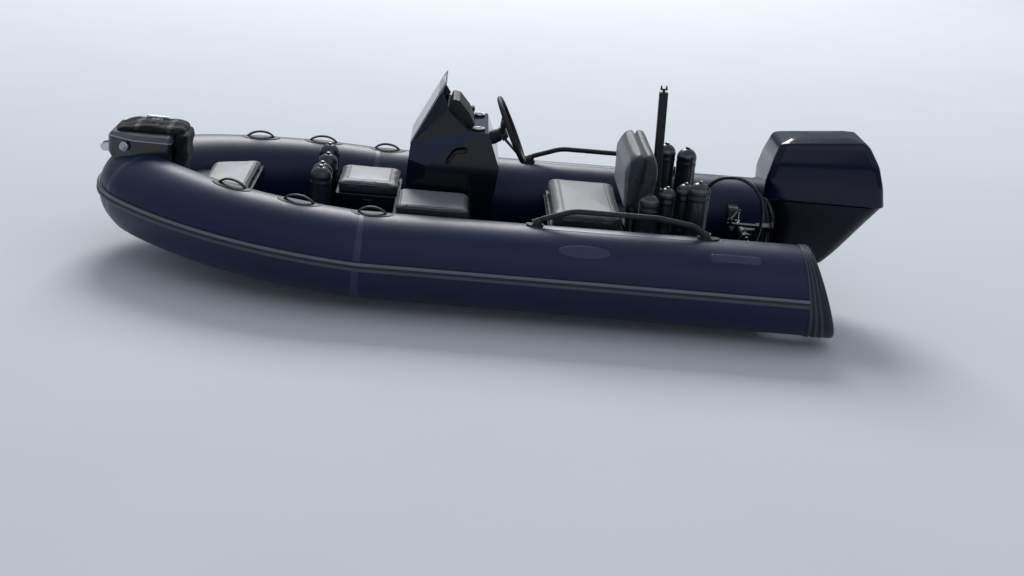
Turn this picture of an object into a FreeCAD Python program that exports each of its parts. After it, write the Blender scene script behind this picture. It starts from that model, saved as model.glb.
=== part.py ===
import FreeCAD, Part
import math
import os

# Inflatable boat with a rigid V hull, console, helm seat and outboard motor, in millimetres.
# +X points to the bow, +Y to port and +Z up. The origin is on the centreline at the waterline.

Vec = FreeCAD.Vector

# Fits and clearances
seat_gap = 0.3
pin_gap = 0.08
moving_gap = 6.0

# Tubes
tube_y = 695.0
tube_z = 280.0
tube_radius_stern = 230.0
tube_radius_seam = 218.0
seam_x = 460.0
seam_run = 40.0
bow_radius_outer = 1556.0
bow_angle = 43.5
bow_tilt = 3.8
tube_end_x = -1800.0
cap_length = 105.0
cap_lean = 9.0
end_lean = 20.0
cap_wall = 3.0

# Rub strake: offsets along the tube's radius and height of its two ribs
strake_half = 24.0
strake_base = 8.0
strake_rib = 13.0

# Hull
transom_x = -1630.0
transom_thick = 55.0
transom_top = 310.0
transom_side_top = 400.0
sole_z = 90.0
coaming_z = 170.0
well_half = 440.0
well_front_x = 1072.0

# Bow locker and cushion
locker_aft_x = well_front_x
locker_front_x = 1478.0
locker_top = 430.0
bow_pad_thick = 48.0
bow_pad_x = (1080.0, 1338.0)
bow_pad_half = (310.0, 192.0)

# Bow step
step_front_x = 1848.0
step_aft_x = 1500.0
step_half = 205.0
step_top = 672.0

# Bow roller
roller_x = step_front_x + 38.0
roller_z = 556.0
roller_radius = 20.0
roller_half = 24.0
roller_pin = 6.0
cheek_thick = 5.0

# Front seat
front_x = (293.0, 634.0)
front_y = (-288.0, 118.0)
front_box_top = 420.0
front_cushion_top = 507.0
lid_thick = 14.0
box_wall = 14.0
lid_lip = 4.0
hinge_radius = 4.5
hinge_offset = 8.0

# Side seat
side_x = (-90.0, 310.0)
side_y = (172.0, 548.0)
side_box_top = 458.0
side_cushion_top = 515.0

# Console: side points are (x, z), and the shoulder facet runs from its aft tip down to its corner
console_x = (-225.0, 284.0)
console_y = (-360.0, 150.0)
console_lean = 50.0
front_corner_x = 163.0
facet_tip = (-92.0, 818.0)
facet_corner = (163.0, 629.0)
screen_base = (255.0, 735.0)
screen_top = (90.0, 1070.0)
screen_bar_z = 1012.0
screen_thick = 5.0
dash_apex = (72.0, 934.0)
dash_rear = (-50.0, 826.0)
shelf_rear = (-152.0, 833.0)
console_aft = ((-166.0, 800.0), (-225.0, 645.0), (-196.0, 400.0), (-150.0, sole_z))

# Steering wheel
wheel_x = -281.0
wheel_y = -105.0
wheel_z = 806.0
wheel_radius = 181.0
rim_radius = 14.0
wheel_rake = 25.8
wheel_dish = 42.0
hub_radius = 42.0
column_radius = 34.0
shaft_radius = 10.0

# Helm seat
helm_x = (-905.0, -515.0)
helm_y = (-395.0, 375.0)
helm_box_top = 398.0
helm_cushion_top = 500.0
back_half = 330.0
back_low_z = 508.0
post_reach = 180.0
post_radius = 14.0

# Aft locker, light mast and fenders
aft_x = (-1318.0, -935.0)
aft_top = 360.0
mast_x = -1097.0
mast_size = 46.0
mast_top = 1105.0
mast_lean = 2.2

# Outboard motor
tilt_x = -1600.0
tilt_z = 362.0
tilt_tube_radius = 16.0
clamp_inner = 86.0
clamp_thick = 24.0
tilt_tube_half = 122.0
ram_radius = 8.0
ram_travel = 90.0
ram_boss = 12.0
steer_x = -1694.0
king_radius = 15.0
swivel_radius = 32.0
swivel_low = 40.0
swivel_high = 392.0
split_z = 612.0
cowl_wall = 9.0
engine_low = 500.0
leg_front_x = -1748.0
leg_aft_x = -1936.0
leg_half = 44.0
plate_z = -215.0
prop_z = -388.0
torpedo_radius = 52.0
prop_radius = 145.0
prop_face_x = -2040.0
shaft_stub = 11.0
skeg_z = -572.0
arm_reach = 178.0
arm_rise = 12.0


def box(x0, x1, y0, y1, z0, z1):
    return Part.makeBox(x1 - x0, y1 - y0, z1 - z0, Vec(x0, y0, z0))


def rod(start, end, radius):
    return Part.makeCylinder(radius, (end - start).Length, start, end - start)


def cornered(points, radii, closed):
    """Wire through the points, with a tangent arc of the given radius at each corner."""
    count = len(points)
    edges = []
    last = None
    first = None
    for i in range(count):
        here = points[i]
        if not closed and i in (0, count - 1):
            entry = here
            leave = here
            mid = None
        else:
            back = (points[i - 1] - here).normalize()
            ahead = (points[(i + 1) % count] - here).normalize()
            half = back.getAngle(ahead) / 2.0
            radius = radii[i] if isinstance(radii, (list, tuple)) else radii
            reach = radius / math.tan(half)
            if radius <= 0.0 or half > math.pi / 2.0 - 1e-4:
                entry = here
                leave = here
                mid = None
            else:
                entry = here + back * reach
                leave = here + ahead * reach
                centre = here + (back + ahead).normalize() * (radius / math.sin(half))
                mid = centre + (here - centre).normalize() * radius
        if last is not None and (entry - last).Length > 1e-6:
            edges.append(Part.LineSegment(last, entry).toShape())
        if mid is not None:
            edges.append(Part.Arc(entry, mid, leave).toShape())
        if first is None:
            first = entry
        last = leave
    if closed and (last - first).Length > 1e-6:
        edges.append(Part.LineSegment(last, first).toShape())
    return Part.Wire(edges)


def side_prism(outline, y0, y1, radii=0.0):
    """Solid from a side outline of (x, z) points."""
    wire = cornered([Vec(x, y0, z) for x, z in outline], radii, True)
    return Part.Face(wire).extrude(Vec(0, y1 - y0, 0))


def plan_prism(outline, z0, z1, radii=0.0):
    """Solid from a plan outline of (x, y) points."""
    wire = cornered([Vec(x, y, z0) for x, y in outline], radii, True)
    return Part.Face(wire).extrude(Vec(0, 0, z1 - z0))


def front_prism(outline, x0, x1, radii=0.0):
    """Solid from a cross outline of (y, z) points."""
    wire = cornered([Vec(x0, y, z) for y, z in outline], radii, True)
    return Part.Face(wire).extrude(Vec(x1 - x0, 0, 0))


def pipe(points, radius, bend):
    path = cornered(points, bend, False)
    start = path.Vertexes[0].Point
    heading = points[1] - points[0]
    ring = Part.Wire([Part.Circle(start, heading, radius).toShape()])
    return path.makePipeShell([ring], True, False)


def rounded(shape, radius, test):
    """Fillet of the edges that pass the test."""
    return shape.makeFillet(radius, [edge for edge in shape.Edges if test(edge)])


def fused(shapes):
    return shapes[0].multiFuse(shapes[1:]).removeSplitter()


def mirrored(shape):
    return shape.mirror(Vec(0, 0, 0), Vec(0, 1, 0))


def save(name, shape):
    shape.exportStep("parts/" + name + ".step")
    print(name, "solids", len(shape.Solids), "valid", shape.isValid(), "litres", round(shape.Volume / 1e6, 3))


# The axis of the bow chamber: a long arc each side, then one nose arc about a centre on the centreline
turn = math.radians(bow_angle)
bow_run = bow_radius_outer * math.sin(turn)
nose_y = tube_y - bow_radius_outer * (1.0 - math.cos(turn))
nose_radius = nose_y / math.cos(turn)
arc_x = seam_x + seam_run
nose_centre_x = arc_x + bow_run - nose_radius * math.sin(turn)
seam_point = Vec(seam_x, 0, tube_z)


def tilted(shape):
    """The bow rises in a plane that turns about the seam."""
    turned = shape.copy()
    turned.rotate(seam_point, Vec(0, 1, 0), -bow_tilt)
    return turned


def bow_sweep(section):
    """Sweep of a section, drawn as a face in the plane x = seam_x on the port axis, round the bow."""
    stub_back = 60.0
    stub = section.copy()
    stub.translate(Vec(-stub_back, 0, 0))
    stub = stub.extrude(Vec(stub_back + seam_run, 0, 0))
    start = section.copy()
    start.translate(Vec(seam_run, 0, 0))
    centre = Vec(arc_x, tube_y - bow_radius_outer, tube_z)
    side = start.revolve(centre, Vec(0, 0, 1), -bow_angle)
    start.rotate(centre, Vec(0, 0, 1), -bow_angle)
    nose = start.revolve(Vec(nose_centre_x, 0, tube_z), Vec(0, 0, 1), -2.0 * (90.0 - bow_angle))
    swept = fused([stub, side, nose, mirrored(side), mirrored(stub)])
    return tilted(swept).cut(half_space(seam_x, -bow_tilt / 2.0, True))


def half_space(x, lean, aft):
    """A big block on one side of the plane that leans back by so many degrees about the tube's axis."""
    reach = 2600.0
    x0, x1 = (x - reach, x) if aft else (x, x + reach)
    block = box(x0, x1, -reach, reach, -reach, reach)
    block.rotate(Vec(x, 0, tube_z), Vec(0, 1, 0), lean)
    return block


def tube_radius(x):
    share = (seam_x - x) / (seam_x - tube_end_x)
    return tube_radius_seam + (tube_radius_stern - tube_radius_seam) * share


def tube_cone(x0, x1, grow):
    return Part.makeCone(tube_radius(x0) + grow, tube_radius(x1) + grow, x1 - x0, Vec(x0, tube_y, tube_z),
                         Vec(1, 0, 0))


def make_tube_port():
    tube = tube_cone(tube_end_x - 150.0, seam_x + 60.0, 0.0)
    tube = tube.cut(half_space(seam_x, -bow_tilt / 2.0, False))
    return tube.cut(half_space(tube_end_x, -cap_lean, True))


def make_tube_bow():
    ring = Part.Wire([Part.Circle(Vec(seam_x, tube_y, tube_z), Vec(1, 0, 0), tube_radius_seam).toShape()])
    return bow_sweep(Part.Face(ring))


def make_cap():
    """Rubber cap that closes the tube's stern end, its end face leaning further than its mouth."""
    cap = tube_cone(tube_end_x - cap_length - 150.0, tube_end_x + 150.0, cap_wall)
    cap = cap.cut(half_space(tube_end_x, -cap_lean, False))
    cap = cap.cut(half_space(tube_end_x - cap_length, -end_lean, True))
    return rounded(cap, 22.0, lambda edge: edge.BoundBox.XMax < tube_end_x - 20.0)


def strake_wire(x):
    """Cross section of the rub strake at x: two ribs on a base that hugs the tube's circle."""
    radius = tube_radius(x)
    heel = math.sqrt(radius * radius - strake_half * strake_half)
    base = radius + strake_base
    rib = radius + strake_rib
    slope = 5.0
    inner = 4.0
    outline = [(heel, -strake_half), (base, -strake_half), (rib, -strake_half + slope), (rib, -inner - slope),
               (base, -inner), (base, inner), (rib, inner + slope), (rib, strake_half - slope),
               (base, strake_half), (heel, strake_half)]
    points = [Vec(x, tube_y + out, tube_z + up) for out, up in outline]
    edges = [Part.LineSegment(a, b).toShape() for a, b in zip(points, points[1:])]
    back = Part.Arc(points[-1], Vec(x, tube_y + radius, tube_z), points[0]).toShape()
    return Part.Wire(edges + [back])


def make_strake():
    """Three lengths, one along each side and one round the bow, that meet at the seams."""
    side = Part.makeLoft([strake_wire(tube_end_x - 100.0), strake_wire(seam_x + 40.0)], True, True)
    side = side.cut(half_space(tube_end_x, -cap_lean, True))
    side = side.cut(half_space(seam_x - seat_gap, -bow_tilt / 2.0, False))
    return Part.makeCompound([side, bow_sweep(Part.Face(strake_wire(seam_x))), mirrored(side)])


# Hull sections: station, keel height, chine half breadth and height, saddle half breadth and height
hull_sections = (
    (-1630.0, -200.0, 545.0, -20.0, 640.0, 60.0),
    (300.0, -200.0, 545.0, -10.0, 640.0, 65.0),
    (900.0, -160.0, 470.0, 45.0, 575.0, 105.0),
    (1350.0, -50.0, 280.0, 100.0, 370.0, 140.0),
    (1640.0, 85.0, 90.0, 135.0, 118.0, 152.0),
    (1725.0, 140.0, 34.0, 150.0, 44.0, 158.0),
)


def make_hull(tubes):
    wires = []
    for x, keel, chine_y, chine_z, saddle_y, saddle_z in hull_sections:
        top_y = saddle_y - 30.0 if saddle_y < 400.0 else saddle_y - 90.0
        half = [(chine_y, chine_z), (saddle_y, saddle_z), (top_y, coaming_z)]
        ring = [(0.0, keel)] + half + [(-y, z) for y, z in reversed(half)]
        wires.append(cornered([Vec(x, y, z) for y, z in ring], 0.0, True))
    hull = Part.makeLoft(wires, True, True)
    well = [(transom_x - 10.0, -well_half), (600.0, -well_half), (well_front_x, -330.0),
            (well_front_x, 330.0), (600.0, well_half), (transom_x - 10.0, well_half)]
    hull = hull.cut(plan_prism(well, sole_z, coaming_z + 60.0, [0.0, 300.0, 30.0, 30.0, 300.0, 0.0]))
    for tube in tubes:
        hull = hull.cut(tube)
    return max(hull.Solids, key=lambda solid: solid.Volume)


def make_transom(tubes):
    notch = 345.0
    shoulder = 400.0
    wing = 520.0
    outline = [(-well_half, sole_z), (well_half, sole_z), (well_half, coaming_z), (wing, coaming_z),
               (wing, transom_side_top), (shoulder, transom_side_top), (notch, transom_top),
               (-notch, transom_top), (-shoulder, transom_side_top), (-wing, transom_side_top),
               (-wing, coaming_z), (-well_half, coaming_z)]
    radii = [0, 0, 0, 0, 0, 40.0, 40.0, 40.0, 40.0, 0, 0, 0]
    board = front_prism(outline, transom_x, transom_x + transom_thick, radii)
    for tube in tubes:
        board = board.cut(tube)
    return max(board.Solids, key=lambda solid: solid.Volume)


def make_bow_locker(tube_bow):
    outline = [(locker_aft_x, -395.0), (locker_front_x, -190.0), (locker_front_x, 190.0),
               (locker_aft_x, 395.0)]
    body = plan_prism(outline, coaming_z, locker_top)
    body = body.cut(tube_bow)
    return max(body.Solids, key=lambda solid: solid.Volume)


def make_bow_cushion():
    """Soft top between the tubes, clear of their flanks."""
    low = locker_top + seat_gap
    aft, fore = bow_pad_x
    wide, narrow = bow_pad_half
    outline = [(aft, -wide), (fore, -narrow), (fore, narrow), (aft, wide)]
    return plan_prism(outline, low, locker_top + bow_pad_thick, 22.0)


def make_bow_step(tube_bow):
    foot = locker_top + 2.0
    outline = [(step_front_x - 40.0, 520.0), (step_front_x - 4.0, 560.0), (step_front_x, 640.0),
               (step_front_x - 22.0, step_top), (step_aft_x + 14.0, step_top), (step_aft_x, step_top - 20.0),
               (step_aft_x, foot), (step_aft_x + 90.0, foot)]
    body = side_prism(outline, -step_half, step_half, [0.0, 10.0, 14.0, 14.0, 14.0, 8.0, 0.0, 0.0])
    nose = 120.0
    plan = [(step_aft_x - 5.0, -step_half), (step_front_x - 150.0, -step_half), (step_front_x + 2.0, -nose),
            (step_front_x + 2.0, nose), (step_front_x - 150.0, step_half), (step_aft_x - 5.0, step_half)]
    body = body.common(plan_prism(plan, 300.0, step_top + 50.0, [30.0, 90.0, 60.0, 60.0, 90.0, 30.0]))
    body = body.cut(tube_bow)
    return max(body.Solids, key=lambda solid: solid.Volume)


def make_roller_cheeks(step, tube):
    """Two stainless cheeks on the front of the step with the pin of the roller between them."""
    outline = [(step_front_x - 40.0, roller_z - 20.0), (roller_x + 4.0, roller_z - 22.0),
               (roller_x + 20.0, roller_z - 4.0), (roller_x + 12.0, roller_z + 18.0),
               (step_front_x - 8.0, roller_z + 30.0)]
    inner = roller_half + 1.5
    cheek = side_prism(outline, inner, inner + cheek_thick, [0.0, 10.0, 10.0, 10.0, 0.0])
    pin = rod(Vec(roller_x, -inner - 2.0, roller_z), Vec(roller_x, inner + 2.0, roller_z), roller_pin)
    body = fused([cheek, pin, mirrored(cheek)]).cut(step).cut(tube)
    return max(body.Solids, key=lambda solid: solid.Volume)


def make_roller():
    """Waisted roller, turned from its profile."""
    bore = roller_pin + pin_gap
    half = roller_half
    points = [Vec(roller_x, -half, roller_z + bore), Vec(roller_x, -half, roller_z + roller_radius),
              Vec(roller_x, 0, roller_z + roller_radius - 8.0), Vec(roller_x, half, roller_z + roller_radius),
              Vec(roller_x, half, roller_z + bore)]
    face = Part.Face(cornered(points, [0.0, 0.0, 30.0, 0.0, 0.0], True))
    return face.revolve(Vec(roller_x, 0, roller_z), Vec(0, 1, 0), 360.0)


cleat_x = 1608.0
cleat_rise = 62.0
cleat_half = 52.0
cleat_foot = 20.0


def make_cleat():
    """Horn cleat on the step, two feet and a bar with rounded ends."""
    bar_z = step_top + cleat_rise
    bar_radius = 8.5
    bar = rod(Vec(cleat_x - cleat_half, 0, bar_z), Vec(cleat_x + cleat_half, 0, bar_z), bar_radius)
    tips = [Part.makeSphere(bar_radius, Vec(cleat_x + side * cleat_half, 0, bar_z)) for side in (-1, 1)]
    feet = [Part.makeCone(13.0, 8.0, cleat_rise, Vec(cleat_x + side * cleat_foot, 0,
                                                     step_top)) for side in (-1, 1)]
    return fused([bar] + tips + feet)


def make_nav_lights(step):
    """Round side lights let into the front corners of the step."""
    spot = Vec(step_front_x - 105.0, step_half - 12.0, 608.0)
    out = Vec(0.36, 0.93, 0).normalize()
    base = Part.makeCylinder(25.0, 34.0, spot - out * 20.0, out)
    dome = Part.makeSphere(21.0, spot + out * 14.0)
    light = fused([base, dome]).cut(step)
    light = max(light.Solids, key=lambda solid: solid.Volume)
    return Part.makeCompound([light, mirrored(light)])


bundle_x = (1384.0, 1822.0)
bundle_half = 168.0
bundle_rise = 56.0


def make_bow_bundle(tube):
    """Folded soft cover on the step, open round the cleat, with a thick tail down the aft face."""
    low = step_top + seat_gap
    aft, fore = bundle_x
    plan = [(aft, -bundle_half), (fore, -bundle_half), (fore, bundle_half), (aft, bundle_half)]
    top = plan_prism(plan, low, step_top + bundle_rise, [20.0, 70.0, 70.0, 20.0])
    tail_low = locker_top + bow_pad_thick + 8.0
    tail = box(aft, step_aft_x - seat_gap, 18.0 - bundle_half, bundle_half - 18.0, tail_low, low + 10.0)
    room = box(cleat_x - 70.0, cleat_x + 70.0, -26.0, 26.0, low - 1.0, low + 100.0)
    return fused([top, tail]).cut(room).cut(tube)


# Grips moulded from rubber: x of each grip's middle, for one side
grip_spots = (1140.0, 790.0, 412.0)
grip_span = 150.0
grip_rise = 46.0
grip_radius = 11.0
pad_length = 230.0
pad_width = 92.0
pad_thick = 4.0


def tube_frame(x):
    """Axis point and heading, in plan, of the port tube at x, with the height of its crest."""
    if x <= seam_x:
        return Vec(x, tube_y, tube_z), 0.0, tube_z + tube_radius(x)
    run = (x - seam_x) / math.cos(math.radians(bow_tilt))
    angle = math.asin(max(run - seam_run, 0.0) / bow_radius_outer)
    y = tube_y - bow_radius_outer * (1.0 - math.cos(angle))
    rise = run * math.sin(math.radians(bow_tilt))
    return Vec(x, y, tube_z + rise), -math.degrees(angle), tube_z + rise + tube_radius_seam


def placed_on_tube(shape, x):
    """Move a shape, drawn about the origin with its length on X, onto the tube's crest at x."""
    axis, heading, crest = tube_frame(x)
    shape.rotate(Vec(0, 0, 0), Vec(0, 1, 0), -bow_tilt if x > seam_x else 0.0)
    shape.rotate(Vec(0, 0, 0), Vec(0, 0, 1), heading)
    shape.translate(Vec(axis.x, axis.y, crest))
    return shape


def thick_tubes(grow):
    """The port side of both chambers, swollen by so much, to cut patches that hug the tube."""
    centre = Vec(arc_x, tube_y - bow_radius_outer, tube_z)
    ring = Part.Face(Part.Wire([Part.Circle(centre, Vec(1, 0, 0), tube_radius_seam + grow).toShape()]))
    ring.translate(Vec(0, bow_radius_outer, 0))
    stub = ring.copy()
    stub.translate(Vec(-seam_run - 60.0, 0, 0))
    stub = stub.extrude(Vec(seam_run + 60.0, 0, 0))
    bow = tilted(fused([stub, ring.revolve(centre, Vec(0, 0, 1), -bow_angle)]))
    side = tube_cone(tube_end_x, seam_x + 60.0, grow)
    lean = -bow_tilt / 2.0
    return fused([side.cut(half_space(seam_x, lean, False)), bow.cut(half_space(seam_x, lean, True))])


def make_grip(x, skin, tubes):
    """Patch of the tube's own curve with an arched grip on it."""
    half_l = pad_length / 2.0
    half_w = pad_width / 2.0
    oval = [(-half_l, -half_w), (half_l, -half_w), (half_l, half_w), (-half_l, half_w)]
    patch = placed_on_tube(plan_prism(oval, -60.0, 60.0, half_w - 1.0), x)
    pad = skin.common(patch)
    half = grip_span / 2.0
    route = [Vec(-half, 0, -6.0), Vec(-half + 14.0, 0, grip_rise - grip_radius),
             Vec(half - 14.0, 0, grip_rise - grip_radius), Vec(half, 0, -6.0)]
    arch = placed_on_tube(pipe(route, grip_radius, 18.0), x)
    grip = fused([pad, arch])
    for tube in tubes:
        grip = grip.cut(tube)
    return max(grip.Solids, key=lambda solid: solid.Volume)


def make_grips(tubes):
    skin = thick_tubes(pad_thick)
    return Part.makeCompound([make_grip(x, skin, tubes) for x in grip_spots])


# Long hand rail over the stern part of each tube
rail_front_x = -412.0
rail_aft_x = -1292.0
rail_rise = 104.0
rail_radius = 14.0


def make_rail(tube):
    crest = [tube_frame(x)[2] for x in (rail_front_x, rail_aft_x)]
    y = tube_y - 12.0
    top = crest[0] + rail_rise - rail_radius
    route = [Vec(rail_front_x, y, crest[0] + 4.0), Vec(rail_front_x - 30.0, y, crest[0] + 34.0),
             Vec(rail_front_x - 190.0, y, top), Vec(rail_aft_x + 260.0, y, top),
             Vec(rail_aft_x + 70.0, y, crest[1] + 58.0), Vec(rail_aft_x, y, crest[1] + 4.0)]
    bar = pipe(route, rail_radius, [0, 40.0, 220.0, 260.0, 90.0, 0])
    feet = []
    for x, long_half in ((rail_front_x, 44.0), (rail_aft_x, 56.0)):
        radius = tube_radius(x)
        shell = Part.makeCylinder(radius + 9.0, 200.0, Vec(x - 100.0, tube_y, tube_z), Vec(1, 0, 0))
        oval = [(x - long_half, y - 34.0), (x + long_half, y - 34.0), (x + long_half, y + 34.0),
                (x - long_half, y + 34.0)]
        feet.append(shell.common(plan_prism(oval, tube_z, tube_z + 400.0, 32.0)))
    return fused([bar] + feet).cut(tube)


def hollow_box(x, y, top, floor):
    shell = box(x[0], x[1], y[0], y[1], floor, top)
    room = box(x[0] + box_wall, x[1] - box_wall, y[0] + box_wall, y[1] - box_wall, floor + box_wall,
               top + 5.0)
    shell = rounded(shell, 16.0, lambda edge: edge.BoundBox.ZLength > 100.0)
    return shell.cut(room)


def cushion(x, y, low, high, round_plan, round_top):
    """Plain pad with rounded corners and a soft top edge."""
    outline = [(x[0], y[0]), (x[1], y[0]), (x[1], y[1]), (x[0], y[1])]
    pad = plan_prism(outline, low, high, round_plan)
    return rounded(pad, round_top, lambda edge: edge.BoundBox.ZMin > high - 1.0)


def make_front_box():
    """Open-topped seat locker with the hinge barrel along its starboard edge and a latch to port."""
    shell = hollow_box(front_x, front_y, front_box_top, sole_z)
    y = front_y[0] - hinge_offset
    barrel = rod(Vec(front_x[0] + 30.0, y, front_box_top + 1.0),
                 Vec(front_x[1] - 30.0, y, front_box_top + 1.0), hinge_radius)
    leaf = box(front_x[0] + 30.0, front_x[1] - 30.0, y - 1.5, front_y[0], front_box_top - 24.0,
               front_box_top - 1.5)
    latch_x = (front_x[0] + front_x[1]) / 2.0
    latch = box(latch_x - 25.0, latch_x + 25.0, front_y[1], front_y[1] + 12.0, front_box_top - 56.0,
                front_box_top - 8.0)
    latch = rounded(latch, 4.0, lambda edge: True)
    return fused([shell, barrel, leaf, latch])


def make_front_lid():
    low = front_box_top + 2.0
    return cushion((front_x[0], front_x[1] + lid_lip), (front_y[0], front_y[1] + lid_lip), low,
                   low + lid_thick, 18.0, 4.0)


def make_front_cushion():
    low = front_box_top + 2.0 + lid_thick + seat_gap
    return cushion((front_x[0] + 4.0, front_x[1]), (front_y[0] + 4.0, front_y[1]), low, front_cushion_top,
                   34.0, 20.0)


def make_side_box(tube_port):
    outline = [(side_y[0], sole_z), (well_half, sole_z), (well_half, coaming_z),
               (side_y[1] + 60.0, coaming_z),
               (side_y[1] + 60.0, side_box_top - 30.0), (side_y[1], side_box_top), (side_y[0], side_box_top)]
    body = front_prism(outline, side_x[0], side_x[1]).cut(tube_port)
    return max(body.Solids, key=lambda solid: solid.Volume)


def make_side_cushion():
    low = side_box_top + seat_gap
    return cushion((side_x[0] + 4.0, side_x[1] - 2.0), (side_y[0] + 3.0, side_y[1]), low, side_cushion_top,
                   30.0, 18.0)


shoulder_inset = 50.0
console_mid_y = (console_y[0] + console_y[1]) / 2.0
console_half = (console_y[1] - console_y[0]) / 2.0


def facet_point(x, half):
    """Point of the port shoulder's facet, a plane through its corner, its tip and the screen's foot."""
    corner = Vec(facet_corner[0], console_half, facet_corner[1])
    tip = Vec(facet_tip[0], console_half, facet_tip[1])
    foot = Vec(screen_base[0], console_half - shoulder_inset, screen_base[1])
    normal = (tip - corner).cross(foot - corner)
    z = corner.z - (normal.x * (x - corner.x) + normal.y * (half - corner.y)) / normal.z
    return Vec(x, half, z)


def cheek_half(x):
    """Half width, in plan, of the upright cheek above the facet: it widens from the screen to the dash."""
    share = (screen_base[0] - x) / (screen_base[0] - dash_rear[0])
    return console_half - shoulder_inset + (shoulder_inset - 11.0) * share


def make_console():
    """Moulded console: its side outline, a chamfered front, and leaning facets cut from both shoulders."""
    outline = [(console_x[1], sole_z), (screen_base[0] + 6.0, 650.0), screen_base, dash_apex, dash_rear,
               shelf_rear]
    outline += list(console_aft)
    radii = [0, 60.0, 10.0, 14.0, 20.0, 12.0, 12.0, 60.0, 200.0, 0]
    body = side_prism(outline, -console_half, console_half, radii)
    front = console_half - 34.0
    plan = [(console_x[1], -front), (console_x[1], front), (front_corner_x, console_half),
            (console_x[0] - 5.0, console_half), (console_x[0] - 5.0, -console_half), (front_corner_x,
                                                                                      -console_half)]
    body = body.common(plan_prism(plan, 0.0, 1200.0, [12.0, 12.0, 60.0, 0, 0, 60.0]))
    x0, x1 = console_x[0] - 60.0, console_x[1] + 60.0
    ring = [facet_point(x1, cheek_half(x1)), facet_point(x0, cheek_half(x0)),
            facet_point(x0, console_half + 80.0), facet_point(x1, console_half + 80.0)]
    wedge = Part.Face(cornered(ring, 0.0, True)).extrude(Vec(0, 0, 700.0))
    body = body.cut(wedge).cut(mirrored(wedge))
    recess = box(console_x[0] - 40.0, -60.0, 60.0 - console_half, console_half - 60.0, sole_z + 40.0,
                 sole_z + 250.0)
    body = body.cut(recess)
    body.translate(Vec(0, console_mid_y, 0))
    return body


def screen_plane(offset):
    """Origin and unit directions of the raked screen: up its face and out of its front."""
    rise = Vec(screen_top[0] - screen_base[0], 0, screen_top[1] - screen_base[1]).normalize()
    out = rise.cross(Vec(0, 1, 0)) * -1.0
    if out.x < 0:
        out = out * -1.0
    origin = Vec(screen_base[0], 0, screen_base[1]) + out * offset
    return origin, rise, out


screen_mid_y = console_mid_y
screen_half_low = console_half - shoulder_inset + 4.0
screen_half_high = screen_half_low - 32.0
screen_length = math.hypot(screen_top[0] - screen_base[0], screen_top[1] - screen_base[1])


def screen_slab(low, high, inset, offset, thick, corner):
    """Slab in the screen's plane between two heights along it, narrowing upwards."""
    origin, rise, out = screen_plane(offset)

    def half(level):
        return screen_half_low + (screen_half_high - screen_half_low) * level / screen_length - inset

    corners = [(low, -half(low)), (low, half(low)), (high, half(high)), (high, -half(high))]
    points = [origin + rise * level + Vec(0, screen_mid_y + side, 0) for level, side in corners]
    face = Part.Face(cornered(points, [4.0, 4.0, corner, corner], True))
    return face.extrude(out * thick)


def screen_wing(side):
    """Side light of the screen: a triangle from its foot to near its top and back to the dash."""
    share = 0.86
    run = screen_top[0] - screen_base[0]
    rise = screen_top[1] - screen_base[1]
    half_top = screen_half_low + (screen_half_high - screen_half_low) * share
    aft_x = dash_apex[0] - 8.0
    points = [Vec(screen_base[0] + 1.0, screen_mid_y + side * (screen_half_low - 2.0), screen_base[1] + 8.0),
              Vec(screen_base[0] + 1.0 + run * share, screen_mid_y + side * (half_top - 2.0),
                  screen_base[1] + rise * share),
              Vec(aft_x, screen_mid_y + side * (cheek_half(aft_x) - 2.0), dash_apex[1] + 6.0)]
    normal = (points[1] - points[0]).cross(points[2] - points[0]).normalize()
    if normal.y * side > 0:
        normal = normal * -1.0
    return Part.Face(cornered(points, 0.0, True)).extrude(normal * screen_thick)


def make_screen(console):
    """Raked clear screen with a small side light each side."""
    pane = screen_slab(6.0, screen_length, 0.0, 0.0, screen_thick, 46.0)
    return fused([pane, screen_wing(1), screen_wing(-1)]).cut(console)


def make_screen_frame(console, screen):
    """Black frame behind the screen, with its bar below the clear top edge."""
    bar = (screen_bar_z - screen_base[1]) / (screen_top[1] - screen_base[1]) * screen_length
    border = 30.0
    outer = screen_slab(-6.0, bar, 0.0, -16.0, 16.0, 24.0)
    window = screen_slab(border, bar - border, border, -30.0, 40.0, 16.0)
    frame = outer.cut(window).cut(console).cut(screen)
    return max(frame.Solids, key=lambda solid: solid.Volume)


def make_dash_pod(console):
    """Hooded instrument pod on the rear slope of the dash."""
    x, z = dash_apex
    outline = [(x - 6.0, z - 12.0), (x - 22.0, z + 41.0), (x - 62.0, z + 33.0), (x - 116.0, z - 27.0),
               (dash_rear[0] - 26.0, dash_rear[1] + 22.0), (dash_rear[0] - 20.0,
                                                            dash_rear[1] - 8.0), (x - 60.0, z - 60.0)]
    pod = side_prism(outline, wheel_y - 130.0, wheel_y + 130.0, [0, 14.0, 16.0, 12.0, 8.0, 0, 0])
    pod = pod.cut(console)
    return max(pod.Solids, key=lambda solid: solid.Volume)


def make_gauges():
    """Two round instruments let into the shelf of the dash."""
    shapes = []
    mid = Vec((dash_rear[0] + shelf_rear[0]) / 2.0, 0, (dash_rear[1] + shelf_rear[1]) / 2.0)
    slope = Vec(shelf_rear[0] - dash_rear[0], 0, shelf_rear[1] - dash_rear[1]).normalize()
    up = Vec(-slope.z, 0, slope.x)
    if up.z < 0:
        up = up * -1.0
    outer = 34.0
    glass = 29.0
    for y in (-288.0, 78.0):
        centre = mid + Vec(0, y, 0) + up * 0.1
        dial = Part.makeCylinder(outer, 12.0, centre, up)
        shapes.append(dial.cut(Part.makeCylinder(glass, 5.0, centre + up * 8.0, up)))
    return Part.makeCompound(shapes)


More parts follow.
